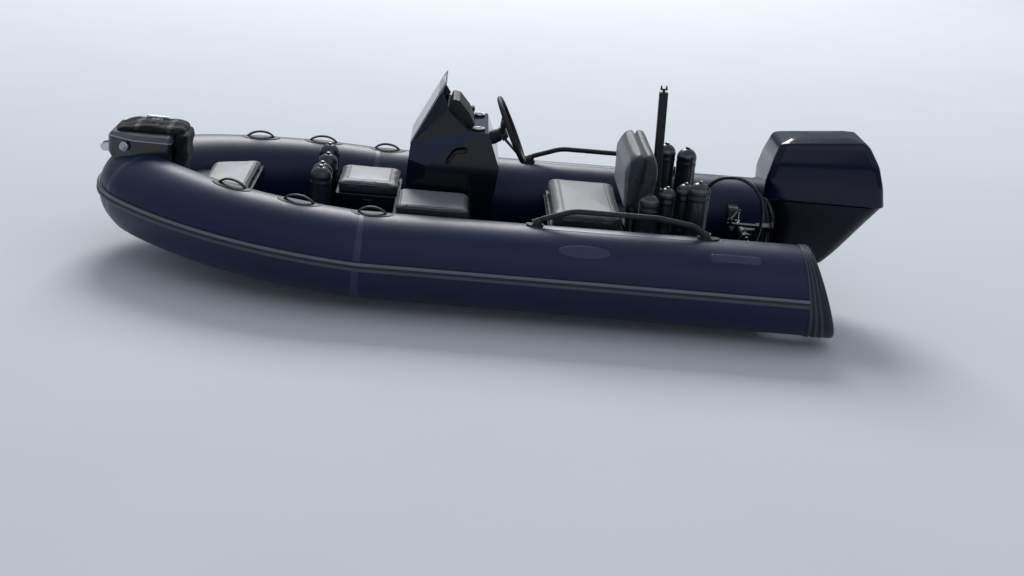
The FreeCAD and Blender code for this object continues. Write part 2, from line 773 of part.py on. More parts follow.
def make_console_grip():
    """Small bent grab bar on the console's port cheek."""
    y = console_y[1]
    out = y + 42.0
    route = [Vec(54.0, y - 12.0, 660.0), Vec(54.0, out, 662.0), Vec(16.0, out, 724.0), Vec(-41.0, out, 733.0),
             Vec(-41.0, y - 12.0, 733.0)]
    return pipe(route, 8.0, [0, 22.0, 30.0, 22.0, 0])


def wheel_axis():
    rake = math.radians(wheel_rake)
    return Vec(-math.cos(rake), 0, math.sin(rake))


wheel_centre = Vec(wheel_x, wheel_y, wheel_z)


def make_column(console):
    """Helm column on the console's aft face, bored for the wheel's shaft."""
    axis = wheel_axis()
    front = wheel_centre - axis * (wheel_dish + 24.0)
    long = 130.0
    body = Part.makeCone(column_radius + 14.0, column_radius, long, front - axis * long, axis)
    body = body.cut(console)
    body = min(body.Solids, key=lambda solid: solid.BoundBox.XMin)
    bore = Part.makeCylinder(shaft_radius + pin_gap, 46.0, front - axis * 46.0, axis)
    return body.cut(bore)


def make_wheel():
    """Wheel with three dished spokes, drawn flat and then raked, with its shaft."""
    rim = Part.makeTorus(wheel_radius, rim_radius)
    hub = Part.makeCone(hub_radius, hub_radius * 0.72, 34.0, Vec(0, 0, -wheel_dish - 20.0))
    shapes = [rim, hub]
    low = -wheel_dish - 12.0
    outline = [(0, low), (hub_radius, low), (wheel_radius, -4.0), (wheel_radius, 4.0),
               (hub_radius, low + 12.0), (0, low + 12.0)]
    for angle in (90.0, 210.0, 330.0):
        spoke = side_prism(outline, -15.0, 15.0)
        spoke.rotate(Vec(0, 0, 0), Vec(0, 0, 1), angle)
        shapes.append(spoke)
    shapes.append(Part.makeCylinder(shaft_radius, 44.0, Vec(0, 0, -wheel_dish - 62.0)))
    wheel = fused(shapes)
    wheel.rotate(Vec(0, 0, 0), Vec(0, 0, 1), 90.0)
    wheel.rotate(Vec(0, 0, 0), Vec(0, 1, 0), -(90.0 - wheel_rake))
    wheel.translate(wheel_centre)
    return wheel


def make_throttle():
    """Side-mounted motor control with its lever."""
    y = console_y[0]
    x = -88.0
    z = 690.0
    base = box(x - 55.0, x + 55.0, y - 46.0, y + console_lean, z - 60.0, z + 60.0)
    base = rounded(base, 10.0, lambda edge: edge.BoundBox.YLength > 20.0)
    hub = rod(Vec(x, y - 62.0, z), Vec(x, y - 44.0, z), 22.0)
    lever = rod(Vec(x, y - 54.0, z), Vec(x + 24.0, y - 54.0, z + 150.0), 8.0)
    knob = rod(Vec(x + 24.0, y - 86.0, z + 150.0), Vec(x + 24.0, y - 30.0, z + 150.0), 14.0)
    return fused([base, hub, lever, knob])


def make_helm_box():
    """Open-topped helm locker with its lid's hinge along the front edge."""
    shell = hollow_box(helm_x, helm_y, helm_box_top, sole_z)
    x = helm_x[1] + hinge_offset
    barrel = rod(Vec(x, helm_y[0] + 60.0, helm_box_top + 1.0), Vec(x, helm_y[1] - 60.0, helm_box_top + 1.0),
                 hinge_radius)
    leaf = box(helm_x[1], x + 1.5, helm_y[0] + 60.0, helm_y[1] - 60.0, helm_box_top - 24.0,
               helm_box_top - 1.5)
    return fused([shell, barrel, leaf])


def make_helm_lid():
    low = helm_box_top + 2.0
    return cushion((helm_x[0], helm_x[1]), (helm_y[0] - lid_lip, helm_y[1] + lid_lip), low, low + lid_thick,
                   18.0, 4.0)


def make_helm_cushion():
    low = helm_box_top + 2.0 + lid_thick + seat_gap
    return cushion((helm_x[0] + 8.0, helm_x[1] - 4.0), (helm_y[0] + 2.0, helm_y[1] - 2.0), low,
                   helm_cushion_top, 46.0, 26.0)


def make_backrest():
    """Two upright pads back to back: the front one thicker and higher, the rear one broad at its foot."""
    low = back_low_z
    front = [(-896.0, low), (-890.0, 640.0), (-886.0, 742.0), (-925.0, 821.0), (-962.0, 840.0),
             (-978.0, 786.0), (-936.0, low)]
    rear = [(-938.0, low), (-980.0, 788.0), (-966.0, 838.0), (-1012.0, 838.0), (-1043.0, 774.0),
            (-1053.0, 700.0),
            (-1036.0, 600.0), (-1012.0, low)]
    shapes = []
    for outline, radii in ((front, [10.0, 200.0, 60.0, 26.0, 14.0, 60.0, 8.0]),
                           (rear, [8.0, 60.0, 16.0, 26.0, 60.0, 90.0, 60.0, 10.0])):
        pad = side_prism(outline, -back_half, back_half, radii)
        pad.translate(Vec(0, (helm_y[0] + helm_y[1]) / 2.0, 0))
        shapes.append(pad)
    return Part.makeCompound(shapes)


def make_back_frame():
    """Two posts with a cross bar that carry the backrest from the aft locker."""
    x = -976.0
    mid_y = (helm_y[0] + helm_y[1]) / 2.0
    posts = [rod(Vec(x, mid_y + side * post_reach, aft_top), Vec(x, mid_y + side * post_reach,
                                                                 back_low_z - seat_gap), post_radius)
             for side in (-1, 1)]
    bar_z = (aft_top + back_low_z) / 2.0
    bar = rod(Vec(x, mid_y - post_reach, bar_z), Vec(x, mid_y + post_reach, bar_z), post_radius - 3.0)
    feet = [Part.makeCylinder(post_radius + 14.0, 8.0, Vec(x, mid_y + side * post_reach,
                                                           aft_top)) for side in (-1, 1)]
    return fused(posts + feet + [bar])


def make_aft_locker(tubes):
    outline = [(-well_half, sole_z), (well_half, sole_z), (well_half, coaming_z), (520.0, coaming_z),
               (520.0, aft_top),
               (-520.0, aft_top), (-520.0, coaming_z), (-well_half, coaming_z)]
    body = front_prism(outline, aft_x[0], aft_x[1])
    for tube in tubes:
        body = body.cut(tube)
    body = max(body.Solids, key=lambda solid: solid.Volume)
    start = hose_route[0]
    gland = Part.makeCone(26.0, 16.0, gland_height, Vec(start.x, start.y, aft_top))
    return fused([body, gland])


def leaned(shape):
    """The mast leans forward about its foot."""
    shape.rotate(Vec(mast_x, 0, aft_top), Vec(0, 1, 0), mast_lean)
    return shape


def make_mast():
    """Light mast of square tube in a foot on the aft locker."""
    half = mast_size / 2.0
    post = box(mast_x - half, mast_x + half, -half, half, aft_top - 30.0, mast_top)
    post = rounded(post, 9.0, lambda edge: edge.BoundBox.ZLength > 200.0)
    foot = rounded(box(mast_x - 55.0, mast_x + 55.0, -45.0, 45.0, aft_top, aft_top + 12.0), 12.0,
                   lambda edge: edge.BoundBox.ZLength > 8.0)
    wide = half + 7.0
    collar = box(mast_x - wide, mast_x + wide, -wide, wide, aft_top + 160.0, aft_top + 215.0)
    collar = rounded(collar, 8.0, lambda edge: edge.BoundBox.ZLength > 40.0)
    body = fused([leaned(post), foot, leaned(collar)])
    return body.cut(box(mast_x - 100.0, mast_x + 100.0, -100.0, 100.0, aft_top - 60.0, aft_top))


def make_mast_light():
    """Forked holder on the mast's top: a short stem under two prongs."""
    stem = Part.makeCylinder(7.0, 14.0, Vec(mast_x, 0, mast_top))
    reach = 14.0
    fork = box(mast_x - reach - 5.0, mast_x + reach + 5.0, -6.0, 6.0, mast_top + 12.0, mast_top + 20.0)
    prongs = [Part.makeCone(5.0, 4.0, 20.0, Vec(mast_x + side * reach, 0, mast_top + 16.0)) for side in (-1,
                                                                                                         1)]
    return leaned(fused([stem, fork] + prongs))


# Steering hose: from the gland on the aft locker, over behind the fenders and into the tilt tube's port end
hose_diameter = 18.0
gland_height = 16.0
nut_length = 18.0
nut_end_y = tilt_tube_half + nut_length
hose_route = [Vec(-1296.0, 252.0, aft_top + gland_height), Vec(-1296.0, 252.0, 560.0),
              Vec(-1330.0, 315.0, 725.0),
              Vec(-1462.0, 408.0, 780.0), Vec(-1585.0, 428.0, 700.0), Vec(-1616.0, 394.0, 535.0),
              Vec(tilt_x, 300.0, tilt_z), Vec(tilt_x, nut_end_y, tilt_z)]


def make_cord(name, route, diameter):
    """Straight runs joined by tangent arcs, as large as the shorter run beside each corner lets them be."""
    radii = [0.0]
    for before, here, after in zip(route, route[1:], route[2:]):
        back = before - here
        ahead = after - here
        half_turn = (math.pi - back.getAngle(ahead)) / 2.0
        radii.append(0.45 * min(back.Length, ahead.Length) / math.tan(half_turn))
    radii.append(0.0)
    cord = pipe(route, diameter / 2.0, radii)
    print(name, "radii", [round(radius) for radius in radii[1:-1]])
    return cord


# Fenders: x, y, foot height, length and radius of each upright fender, grouped by where they stand
bow_fenders = (
    (702.0, 322.0, sole_z, 540.0, 56.0),
    (706.0, 192.0, sole_z, 528.0, 55.0),
    (702.0, -122.0, sole_z, 502.0, 56.0),
    (706.0, -258.0, sole_z, 524.0, 56.0),
)
port_fenders = (
    (-1010.0, 415.0, aft_top, 290.0, 56.0),
    (-1106.0, 345.0, aft_top, 316.0, 48.0),
    (-1206.0, 300.0, aft_top, 334.0, 50.0),
    (-1264.0, 404.0, aft_top, 374.0, 58.0),
)
starboard_fenders = (
    (-1060.0, -398.0, aft_top, 300.0, 52.0),
    (-1176.0, -404.0, aft_top, 385.0, 56.0),
    (-1294.0, -388.0, aft_top, 372.0, 57.0),
)


def fender(x, y, foot, length, radius):
    """Round-ended cylinder with an eye at its top, turned from its profile."""
    low = foot + seat_gap
    eye = 17.0
    high = foot + length
    end = radius * 0.8
    profile = [Vec(x, y, low), Vec(x + eye, y, low), Vec(x + radius, y, low + end),
               Vec(x + radius, y, high - end),
               Vec(x + eye, y, high - 14.0), Vec(x + eye, y, high), Vec(x, y, high)]
    wire = cornered(profile, [0, 6.0, radius * 0.72, radius * 0.72, 6.0, 5.0, 0], True)
    return Part.Face(wire).revolve(Vec(x, y, low), Vec(0, 0, 1), 360.0)


def make_fenders(table):
    return Part.makeCompound([fender(*row) for row in table])


def make_clamp():
    """Transom bracket: two hooked side plates joined by the tilt tube and a spacer."""
    gap = seat_gap
    outer_x = transom_x - gap
    inner_x = transom_x + transom_thick + gap
    plate = [(outer_x - 30.0, 130.0), (outer_x, 130.0), (outer_x, transom_top + gap),
             (inner_x, transom_top + gap),
             (inner_x, 205.0), (inner_x + 26.0, 205.0), (inner_x + 26.0, 345.0), (inner_x - 4.0, 388.0),
             (outer_x + 4.0, 390.0), (outer_x - 36.0, 330.0)]
    radii = [8.0, 0, 0, 0, 0, 8.0, 18.0, 18.0, 24.0, 26.0]
    side = side_prism(plate, clamp_inner, clamp_inner + clamp_thick, radii)
    half = tilt_tube_half
    tube = rod(Vec(tilt_x, -half, tilt_z), Vec(tilt_x, half, tilt_z), tilt_tube_radius)
    bore = rod(Vec(tilt_x, -half - 1.0, tilt_z), Vec(tilt_x, half + 1.0, tilt_z), ram_radius + pin_gap)
    spacer = rod(Vec(outer_x - 18.0, -clamp_inner, 148.0), Vec(outer_x - 18.0, clamp_inner, 148.0), 11.0)
    nut = rod(Vec(tilt_x, half, tilt_z), Vec(tilt_x, nut_end_y, tilt_z), tilt_tube_radius + 4.0)
    return fused([side, mirrored(side), tube, spacer]).cut(bore).fuse(nut).removeSplitter()


def make_swivel():
    """Swivel bracket: sleeve on the tilt tube, web, and the upright steering tube."""
    half = clamp_inner - 1.0
    sleeve = rod(Vec(tilt_x, -half, tilt_z), Vec(tilt_x, half, tilt_z), 27.0)
    post = Part.makeCylinder(swivel_radius, swivel_high - swivel_low, Vec(steer_x, 0, swivel_low))
    outline = [(tilt_x + 2.0, tilt_z + 26.0), (steer_x, swivel_high), (steer_x, swivel_low + 6.0),
               (steer_x + 28.0, 100.0),
               (steer_x + 34.0, 300.0), (tilt_x - 20.0, tilt_z - 20.0)]
    web = side_prism(outline, -26.0, 26.0, [0, 0, 0, 30.0, 30.0, 0])
    cheeks = [side_prism([(tilt_x, tilt_z + 22.0), (steer_x, tilt_z + 8.0), (steer_x, 250.0),
                          (tilt_x - 16.0, tilt_z - 18.0)],
                         side - 6.0, side + 6.0) for side in (-62.0, 62.0)]
    ribs = box(steer_x - 8.0, steer_x + 18.0, -68.0, 68.0, 268.0, 330.0)
    body = fused([sleeve, post, web, ribs] + cheeks)
    body = body.cut(rod(Vec(tilt_x, -half - 5.0, tilt_z), Vec(tilt_x, half + 5.0, tilt_z),
                        tilt_tube_radius + pin_gap))
    return body.cut(Part.makeCylinder(king_radius + pin_gap, 500.0, Vec(steer_x, 0, 0)))


def make_yoke():
    """Kingpin between an upper and a lower yoke, with the steering arm reaching forward."""
    top = swivel_high + 1.0
    low = swivel_low - 1.0
    pin = Part.makeCylinder(king_radius, top - low + 20.0, Vec(steer_x, 0, low - 10.0))
    root = leg_front_x - 30.0
    upper = plan_prism([(steer_x + 36.0, -34.0), (steer_x + 36.0, 34.0), (root, 52.0), (root, -52.0)],
                       top, top + 26.0, [30.0, 30.0, 0, 0])
    lower = plan_prism([(steer_x + 34.0, -32.0), (steer_x + 34.0, 32.0), (root, 40.0), (root, -40.0)],
                       low - 26.0, low, [28.0, 28.0, 0, 0])
    arm_tip = steer_x + arm_reach
    arm = plan_prism([(steer_x - 10.0, -22.0), (arm_tip + 14.0, -14.0), (arm_tip + 14.0, 14.0),
                      (steer_x - 10.0, 22.0)],
                     top + arm_rise, top + arm_rise + 12.0, [0, 13.0, 13.0, 0])
    stud = Part.makeCylinder(6.0, 34.0, Vec(arm_tip, 0, top + arm_rise + 6.0))
    return fused([pin, upper, lower, arm, stud])


link_z = swivel_high + arm_rise + 27.0
link_end_y = -(tilt_tube_half + ram_boss + ram_travel + moving_gap)


def make_link():
    """Drag link from the steering arm's stud to the ram."""
    tip_x = steer_x + arm_reach
    half = 6.0
    eyes = []
    for x, y, bore in ((tip_x, 0.0, 6.0 + pin_gap), (tilt_x, link_end_y, 6.0 + 0.6)):
        eye = Part.makeCylinder(13.0, 2 * half, Vec(x, y, link_z - half))
        eyes.append((eye, Part.makeCylinder(bore, 60.0, Vec(x, y, link_z - 30.0))))
    bar = rod(Vec(tip_x, 0, link_z), Vec(tilt_x, link_end_y, link_z), 5.5)
    link = fused([bar] + [eye for eye, bore in eyes])
    for eye, bore in eyes:
        link = link.cut(bore)
    return link


def make_ram():
    """Steering ram that slides in the tilt tube, with an upstand for the link's eye."""
    bar = rod(Vec(tilt_x, link_end_y - ram_boss - 2.0, tilt_z), Vec(tilt_x, 0.0, tilt_z), ram_radius)
    post = Part.makeCylinder(6.0, link_z - 7.0 - tilt_z, Vec(tilt_x, link_end_y, tilt_z))
    boss = Part.makeCylinder(ram_boss, 26.0, Vec(tilt_x, link_end_y, tilt_z - 13.0))
    return fused([bar, post, boss])


# Cowl sections: height, front x, aft x, half width and corner radius
cowl_sections = (
    (split_z, -1650.0, -2312.0, 188.0, 100.0),
    (726.0, -1637.0, -2292.0, 198.0, 100.0),
    (871.0, -1664.0, -2238.0, 190.0, 92.0),
    (938.0, -1682.0, -2196.0, 172.0, 80.0),
    (972.0, -1702.0, -2152.0, 140.0, 58.0),
    (988.0, -1780.0, -2070.0, 84.0, 40.0),
)
lower_sections = (
    (246.0, -1752.0, -2040.0, 60.0, 40.0),
    (300.0, -1750.0, -2090.0, 84.0, 60.0),
    (430.0, -1744.0, -2180.0, 138.0, 84.0),
    (528.0, -1712.0, -2248.0, 170.0, 96.0),
    (split_z - 3.0, -1654.0, -2308.0, 187.0, 100.0),
)


def cowl_wire(z, front, aft, half, corner, wall):
    points = [Vec(front - wall, -half + wall, z), Vec(front - wall, half - wall, z),
              Vec(aft + wall, half - wall, z), Vec(aft + wall, -half + wall, z)]
    return cornered(points, max(corner - wall, 8.0), True)


def cowl_loft(table, wall):
    wires = [cowl_wire(z - (wall if z > 900.0 else 0.0), front, aft, half, corner, wall)
             for z, front, aft, half, corner in table]
    return Part.makeLoft(wires, True, False)


def make_cowl_top():
    """Hollow top cowl, with a raised rim along its foot."""
    shell = cowl_loft(cowl_sections, 0.0)
    return shell.cut(cowl_loft(cowl_sections, cowl_wall))


def make_cowl_lower():
    """Lower cowl, a tray that narrows to the leg."""
    body = cowl_loft(lower_sections, 0.0)
    room = Part.makeLoft([cowl_wire(engine_low, -1742.0, -2150.0, 128.0, 80.0, 0.0),
                          cowl_wire(split_z, -1672.0, -2290.0, 168.0, 84.0, 0.0)], True, True)
    body = body.cut(room)
    return body.cut(Part.makeCylinder(62.0, 60.0, Vec(steer_x, 0, swivel_high - 20.0)))


def make_powerhead():
    """The engine, one plain block on the lower cowl's floor."""
    block = box(-2090.0, -1760.0, -112.0, 112.0, engine_low + seat_gap, 890.0)
    return rounded(block, 24.0, lambda edge: edge.BoundBox.ZLength > 200.0)


def leg_section(z, front, aft, half):
    """Streamlined section: round nose, widest a third back, fine tail."""
    chord = front - aft
    nose = Vec(front, 0, z)
    side = Vec(front - 0.36 * chord, half, z)
    tail = Vec(aft, 3.0, z)
    other = Vec(front - 0.36 * chord, -half, z)
    end = Vec(aft, -3.0, z)
    front_arc = Part.Arc(other, nose, side).toShape()
    side_mid = (side + tail) * 0.5 + Vec(0, half * 0.13, 0)
    other_mid = (other + end) * 0.5 - Vec(0, half * 0.13, 0)
    return Part.Wire([front_arc, Part.Arc(side, side_mid, tail).toShape(),
                      Part.LineSegment(tail, end).toShape(),
                      Part.Arc(end, other_mid, other).toShape()])


def make_leg():
    """Midsection between the lower cowl and the plate."""
    sections = [leg_section(246.0, leg_front_x, leg_aft_x, leg_half + 12.0),
                leg_section(60.0, leg_front_x, leg_aft_x + 4.0, leg_half),
                leg_section(plate_z, leg_front_x + 2.0, leg_aft_x + 16.0, leg_half - 10.0)]
    return Part.makeLoft(sections, True, False)


def make_gearcase():
    """Anti-ventilation plate, strut, torpedo and skeg, bored for the propeller's shaft."""
    fore = leg_front_x + 20.0
    wide = leg_front_x - 92.0
    aft = leg_aft_x - 182.0
    tail = aft - 30.0
    plate = plan_prism([(fore, -34.0), (fore, 34.0), (wide, 92.0), (aft, 104.0), (tail, 40.0), (tail, -40.0),
                        (aft, -104.0), (wide, -92.0)], plate_z - 9.0, plate_z,
                       [20.0, 20.0, 80.0, 24.0, 20.0, 20.0, 24.0, 80.0])
    strut = Part.makeLoft([leg_section(plate_z - 4.0, leg_front_x + 2.0, leg_aft_x + 14.0, 34.0),
                           leg_section(prop_z + 20.0, leg_front_x + 18.0, leg_aft_x + 6.0, 26.0)], True, True)
    front = torpedo_radius * 2.1
    nose_x = leg_front_x + 42.0
    points = [Vec(nose_x, 0, prop_z), Vec(nose_x - front, 0, prop_z + torpedo_radius),
              Vec(prop_face_x + 80.0, 0, prop_z + torpedo_radius),
              Vec(prop_face_x + 4.0, 0, prop_z + torpedo_radius - 12.0),
              Vec(prop_face_x + 4.0, 0, prop_z)]
    arc_mid = Vec(nose_x - front * 0.34, 0, prop_z + torpedo_radius * 0.74)
    profile = Part.Wire([Part.Arc(points[0], arc_mid, points[1]).toShape()] +
                        [Part.LineSegment(points[i], points[i + 1]).toShape() for i in (1, 2, 3)] +
                        [Part.LineSegment(points[4], points[0]).toShape()])
    torpedo = Part.Face(profile).revolve(Vec(0, 0, prop_z), Vec(1, 0, 0), 360.0)
    skeg = side_prism([(nose_x - 36.0, prop_z - 20.0), (nose_x - 114.0, skeg_z + 8.0),
                       (nose_x - 199.0, skeg_z),
                       (prop_face_x + 50.0, prop_z - 20.0)], -6.0, 6.0, [0, 26.0, 24.0, 0])
    body = fused([plate, strut, torpedo, skeg])
    bore = rod(Vec(prop_face_x + 10.0, 0, prop_z), Vec(prop_face_x + 70.0, 0, prop_z), shaft_stub + pin_gap)
    mouth = rod(Vec(prop_face_x - 5.0, 0, prop_z), Vec(prop_face_x + 12.0, 0, prop_z), shaft_stub + 0.6)
    return body.cut(bore).cut(mouth)


hub_length = 96.0
hub_front = 39.0
hub_back = 33.0
blade_pitch = 290.0
# Blade sections: radius, chord, thickness and rake aft
blade_sections = (
    (28.0, 72.0, 13.0, 0.0),
    (72.0, 118.0, 9.0, 6.0),
    (112.0, 112.0, 6.0, 13.0),
    (prop_radius - 3.0, 46.0, 3.0, 19.0),
)


def blade_section(radius, chord, thick, rake):
    """Lens-shaped section across the blade at one radius, set at the pitch angle there."""
    angle = math.atan2(blade_pitch, 2.0 * math.pi * radius)
    along = Vec(-math.sin(angle), math.cos(angle), 0)
    across = Vec(math.cos(angle), math.sin(angle), 0)
    centre = Vec(-rake, 0, radius)
    lead = centre + along * (chord / 2.0)
    trail = centre - along * (chord / 2.0)
    suction = Part.Arc(lead, centre + across * (thick * 0.75), trail).toShape()
    pressure = Part.Arc(trail, centre - across * (thick * 0.25), lead).toShape()
    return Part.Wire([suction, pressure])


def make_propeller():
    """Three raked blades on a tapered hub, with its shaft and nut."""
    face = 0.0
    hub = Part.makeCone(hub_front, hub_back, hub_length, Vec(face, 0, 0), Vec(-1, 0, 0))
    hub = rounded(hub, 5.0, lambda edge: edge.BoundBox.XMax < -hub_length + 1.0)
    nut = Part.makeCone(16.0, 11.0, 20.0, Vec(-hub_length, 0, 0), Vec(-1, 0, 0))
    shaft = Part.makeCylinder(shaft_stub, 64.0, Vec(0, 0, 0), Vec(1, 0, 0))
    blade = Part.makeLoft([blade_section(*row) for row in blade_sections], True, False)
    blade.translate(Vec(-hub_length / 2.0 + 4.0, 0, 0))
    shapes = [hub, nut, shaft]
    for turn_angle in (0.0, 120.0, 240.0):
        copy = blade.copy()
        copy.rotate(Vec(0, 0, 0), Vec(1, 0, 0), turn_angle)
        shapes.append(copy)
    body = fused(shapes)
    body.translate(Vec(prop_face_x, 0, prop_z))
    return body


os.makedirs("parts", exist_ok=True)
tube_port = make_tube_port()
tube_starboard = mirrored(tube_port)
tube_bow = make_tube_bow()
tubes = [tube_port, tube_starboard, tube_bow]
cap = make_cap()
bow_step = make_bow_step(tube_bow)
console = make_console()
screen = make_screen(console)
backrest = make_backrest()
yoke = make_yoke()
rail = make_rail(tube_port)
grips = make_grips(tubes[::2])

nodes = {
    "tube_port": tube_port,
    "tube_starboard": tube_starboard,
    "tube_bow": tube_bow,
    "tube_caps": Part.makeCompound([cap, mirrored(cap)]),
    "rub_strake": make_strake(),
    "hull": make_hull(tubes),
    "transom": make_transom(tubes),
    "bow_locker": make_bow_locker(tube_bow),
    "bow_cushion": make_bow_cushion(),
    "bow_step": bow_step,
    "roller_cheeks": make_roller_cheeks(bow_step, tube_bow),
    "bow_roller": make_roller(),
    "bow_cleat": make_cleat(),
    "bow_lights": make_nav_lights(bow_step),
    "bow_bundle": make_bow_bundle(tube_bow),
    "grips_port": grips,
    "grips_starboard": mirrored(grips),
    "rail_port": rail,
    "rail_starboard": mirrored(rail),
    "front_seat_box": make_front_box(),
    "front_seat_lid": make_front_lid(),
    "front_cushion": make_front_cushion(),
    "side_seat_box": make_side_box(tube_port),
    "side_cushion": make_side_cushion(),
    "console": console,
    "windscreen": screen,
    "screen_frame": make_screen_frame(console, screen),
    "dash_pod": make_dash_pod(console),
    "gauges": make_gauges(),
    "console_grip": make_console_grip().cut(console),
    "helm_column": make_column(console),
    "steering_wheel": make_wheel(),
    "throttle": make_throttle().cut(console),
    "helm_seat_box": make_helm_box(),
    "helm_seat_lid": make_helm_lid(),
    "helm_cushion": make_helm_cushion(),
    "backrest": backrest,
    "backrest_frame": make_back_frame(),
    "aft_locker": make_aft_locker(tubes),
    "light_mast": make_mast(),
    "mast_light": make_mast_light(),
    "bow_fenders": make_fenders(bow_fenders),
    "port_fenders": make_fenders(port_fenders),
    "starboard_fenders": make_fenders(starboard_fenders),
    "steering_hose": make_cord("steering_hose", hose_route, hose_diameter),
    "clamp_bracket": make_clamp(),
    "swivel_bracket": make_swivel(),
    "steering_yoke": yoke,
    "steering_link": make_link(),
    "steering_ram": make_ram(),
    "cowl_top": make_cowl_top(),
    "cowl_lower": make_cowl_lower().cut(yoke),
    "powerhead": make_powerhead(),
    "leg": make_leg().cut(yoke),
    "gearcase": make_gearcase(),
    "propeller": make_propeller(),
}
for name, shape in nodes.items():
    save(name, shape)
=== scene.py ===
import math
import bmesh
import bpy
import numpy as np
from mathutils import Matrix, Vector
from mathutils.bvhtree import BVHTree


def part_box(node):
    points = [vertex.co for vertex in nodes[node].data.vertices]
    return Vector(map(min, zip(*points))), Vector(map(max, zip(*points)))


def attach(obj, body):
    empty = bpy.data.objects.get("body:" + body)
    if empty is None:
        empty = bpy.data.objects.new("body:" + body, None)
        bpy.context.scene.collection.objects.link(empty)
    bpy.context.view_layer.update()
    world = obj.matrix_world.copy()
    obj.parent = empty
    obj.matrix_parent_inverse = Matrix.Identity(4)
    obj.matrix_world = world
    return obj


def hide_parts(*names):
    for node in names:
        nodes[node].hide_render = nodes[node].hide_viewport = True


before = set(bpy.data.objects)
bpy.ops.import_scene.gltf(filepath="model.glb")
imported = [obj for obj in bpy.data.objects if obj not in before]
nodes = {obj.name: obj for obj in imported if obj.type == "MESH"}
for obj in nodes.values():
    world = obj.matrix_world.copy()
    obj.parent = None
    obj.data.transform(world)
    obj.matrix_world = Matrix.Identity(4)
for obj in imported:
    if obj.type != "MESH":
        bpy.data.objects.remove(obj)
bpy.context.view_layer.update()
print("frame loaded", len(nodes), "nodes")

def show(made):  # puts an object into the scene
    bpy.context.scene.collection.objects.link(made)


# The boat is seen from its port side, a little from above, with the picture tipped as in the photograph
cameraPlan = {
    "place": (0.05, 8.5, 2.699),
    "azimuth": -2.77,
    "pitch": 17.96,
    "roll": 5.52,
    "focalPixels": 1614.1,
    "imageWidth": 1024.0,
    "sensor": 36.0,
}


def makeCamera(plan):
    turn, dip, tip = (math.radians(plan[key]) for key in ("azimuth", "pitch", "roll"))
    ahead = Vector((math.sin(turn) * math.cos(dip), -math.cos(turn) * math.cos(dip), -math.sin(dip)))
    right = ahead.cross(Vector((0, 0, 1))).normalized()
    up = right.cross(ahead)
    tippedRight = right * math.cos(tip) + up * math.sin(tip)
    tippedUp = up * math.cos(tip) - right * math.sin(tip)
    data = bpy.data.cameras.new("camera")
    data.sensor_width = plan["sensor"]
    data.lens = plan["focalPixels"] * plan["sensor"] / plan["imageWidth"]
    camera = bpy.data.objects.new("camera", data)
    show(camera)
    axes = Matrix((tippedRight, tippedUp, -ahead)).transposed()
    camera.matrix_world = Matrix.Translation(plan["place"]) @ axes.to_4x4()
    bpy.context.scene.camera = camera


makeCamera(cameraPlan)


class Wire:  # a shader socket that takes part in sums
    def __init__(self, finish, socket):
        self.finish = finish
        self.socket = socket

    def worked(self, operation, left, right):
        return self.finish.node("Math", {"operation": operation}, {0: left, 1: right})

    def __add__(self, other):
        return self.worked("ADD", self, other)

    def __sub__(self, other):
        return self.worked("SUBTRACT", self, other)

    def __rsub__(self, other):
        return self.worked("SUBTRACT", other, self)

    def __mul__(self, other):
        return self.worked("MULTIPLY", self, other)

    def __truediv__(self, other):
        return self.worked("DIVIDE", self, other)

    __radd__ = __add__
    __rmul__ = __mul__


def tone(red, green, blue):  # screen values of 0 to 255 as linear light
    values = np.array([red, green, blue]) / 255
    linear = np.where(values <= 0.04045, values / 12.92, ((values + 0.055) / 1.055) ** 2.4)
    return (*linear.tolist(), 1.0)


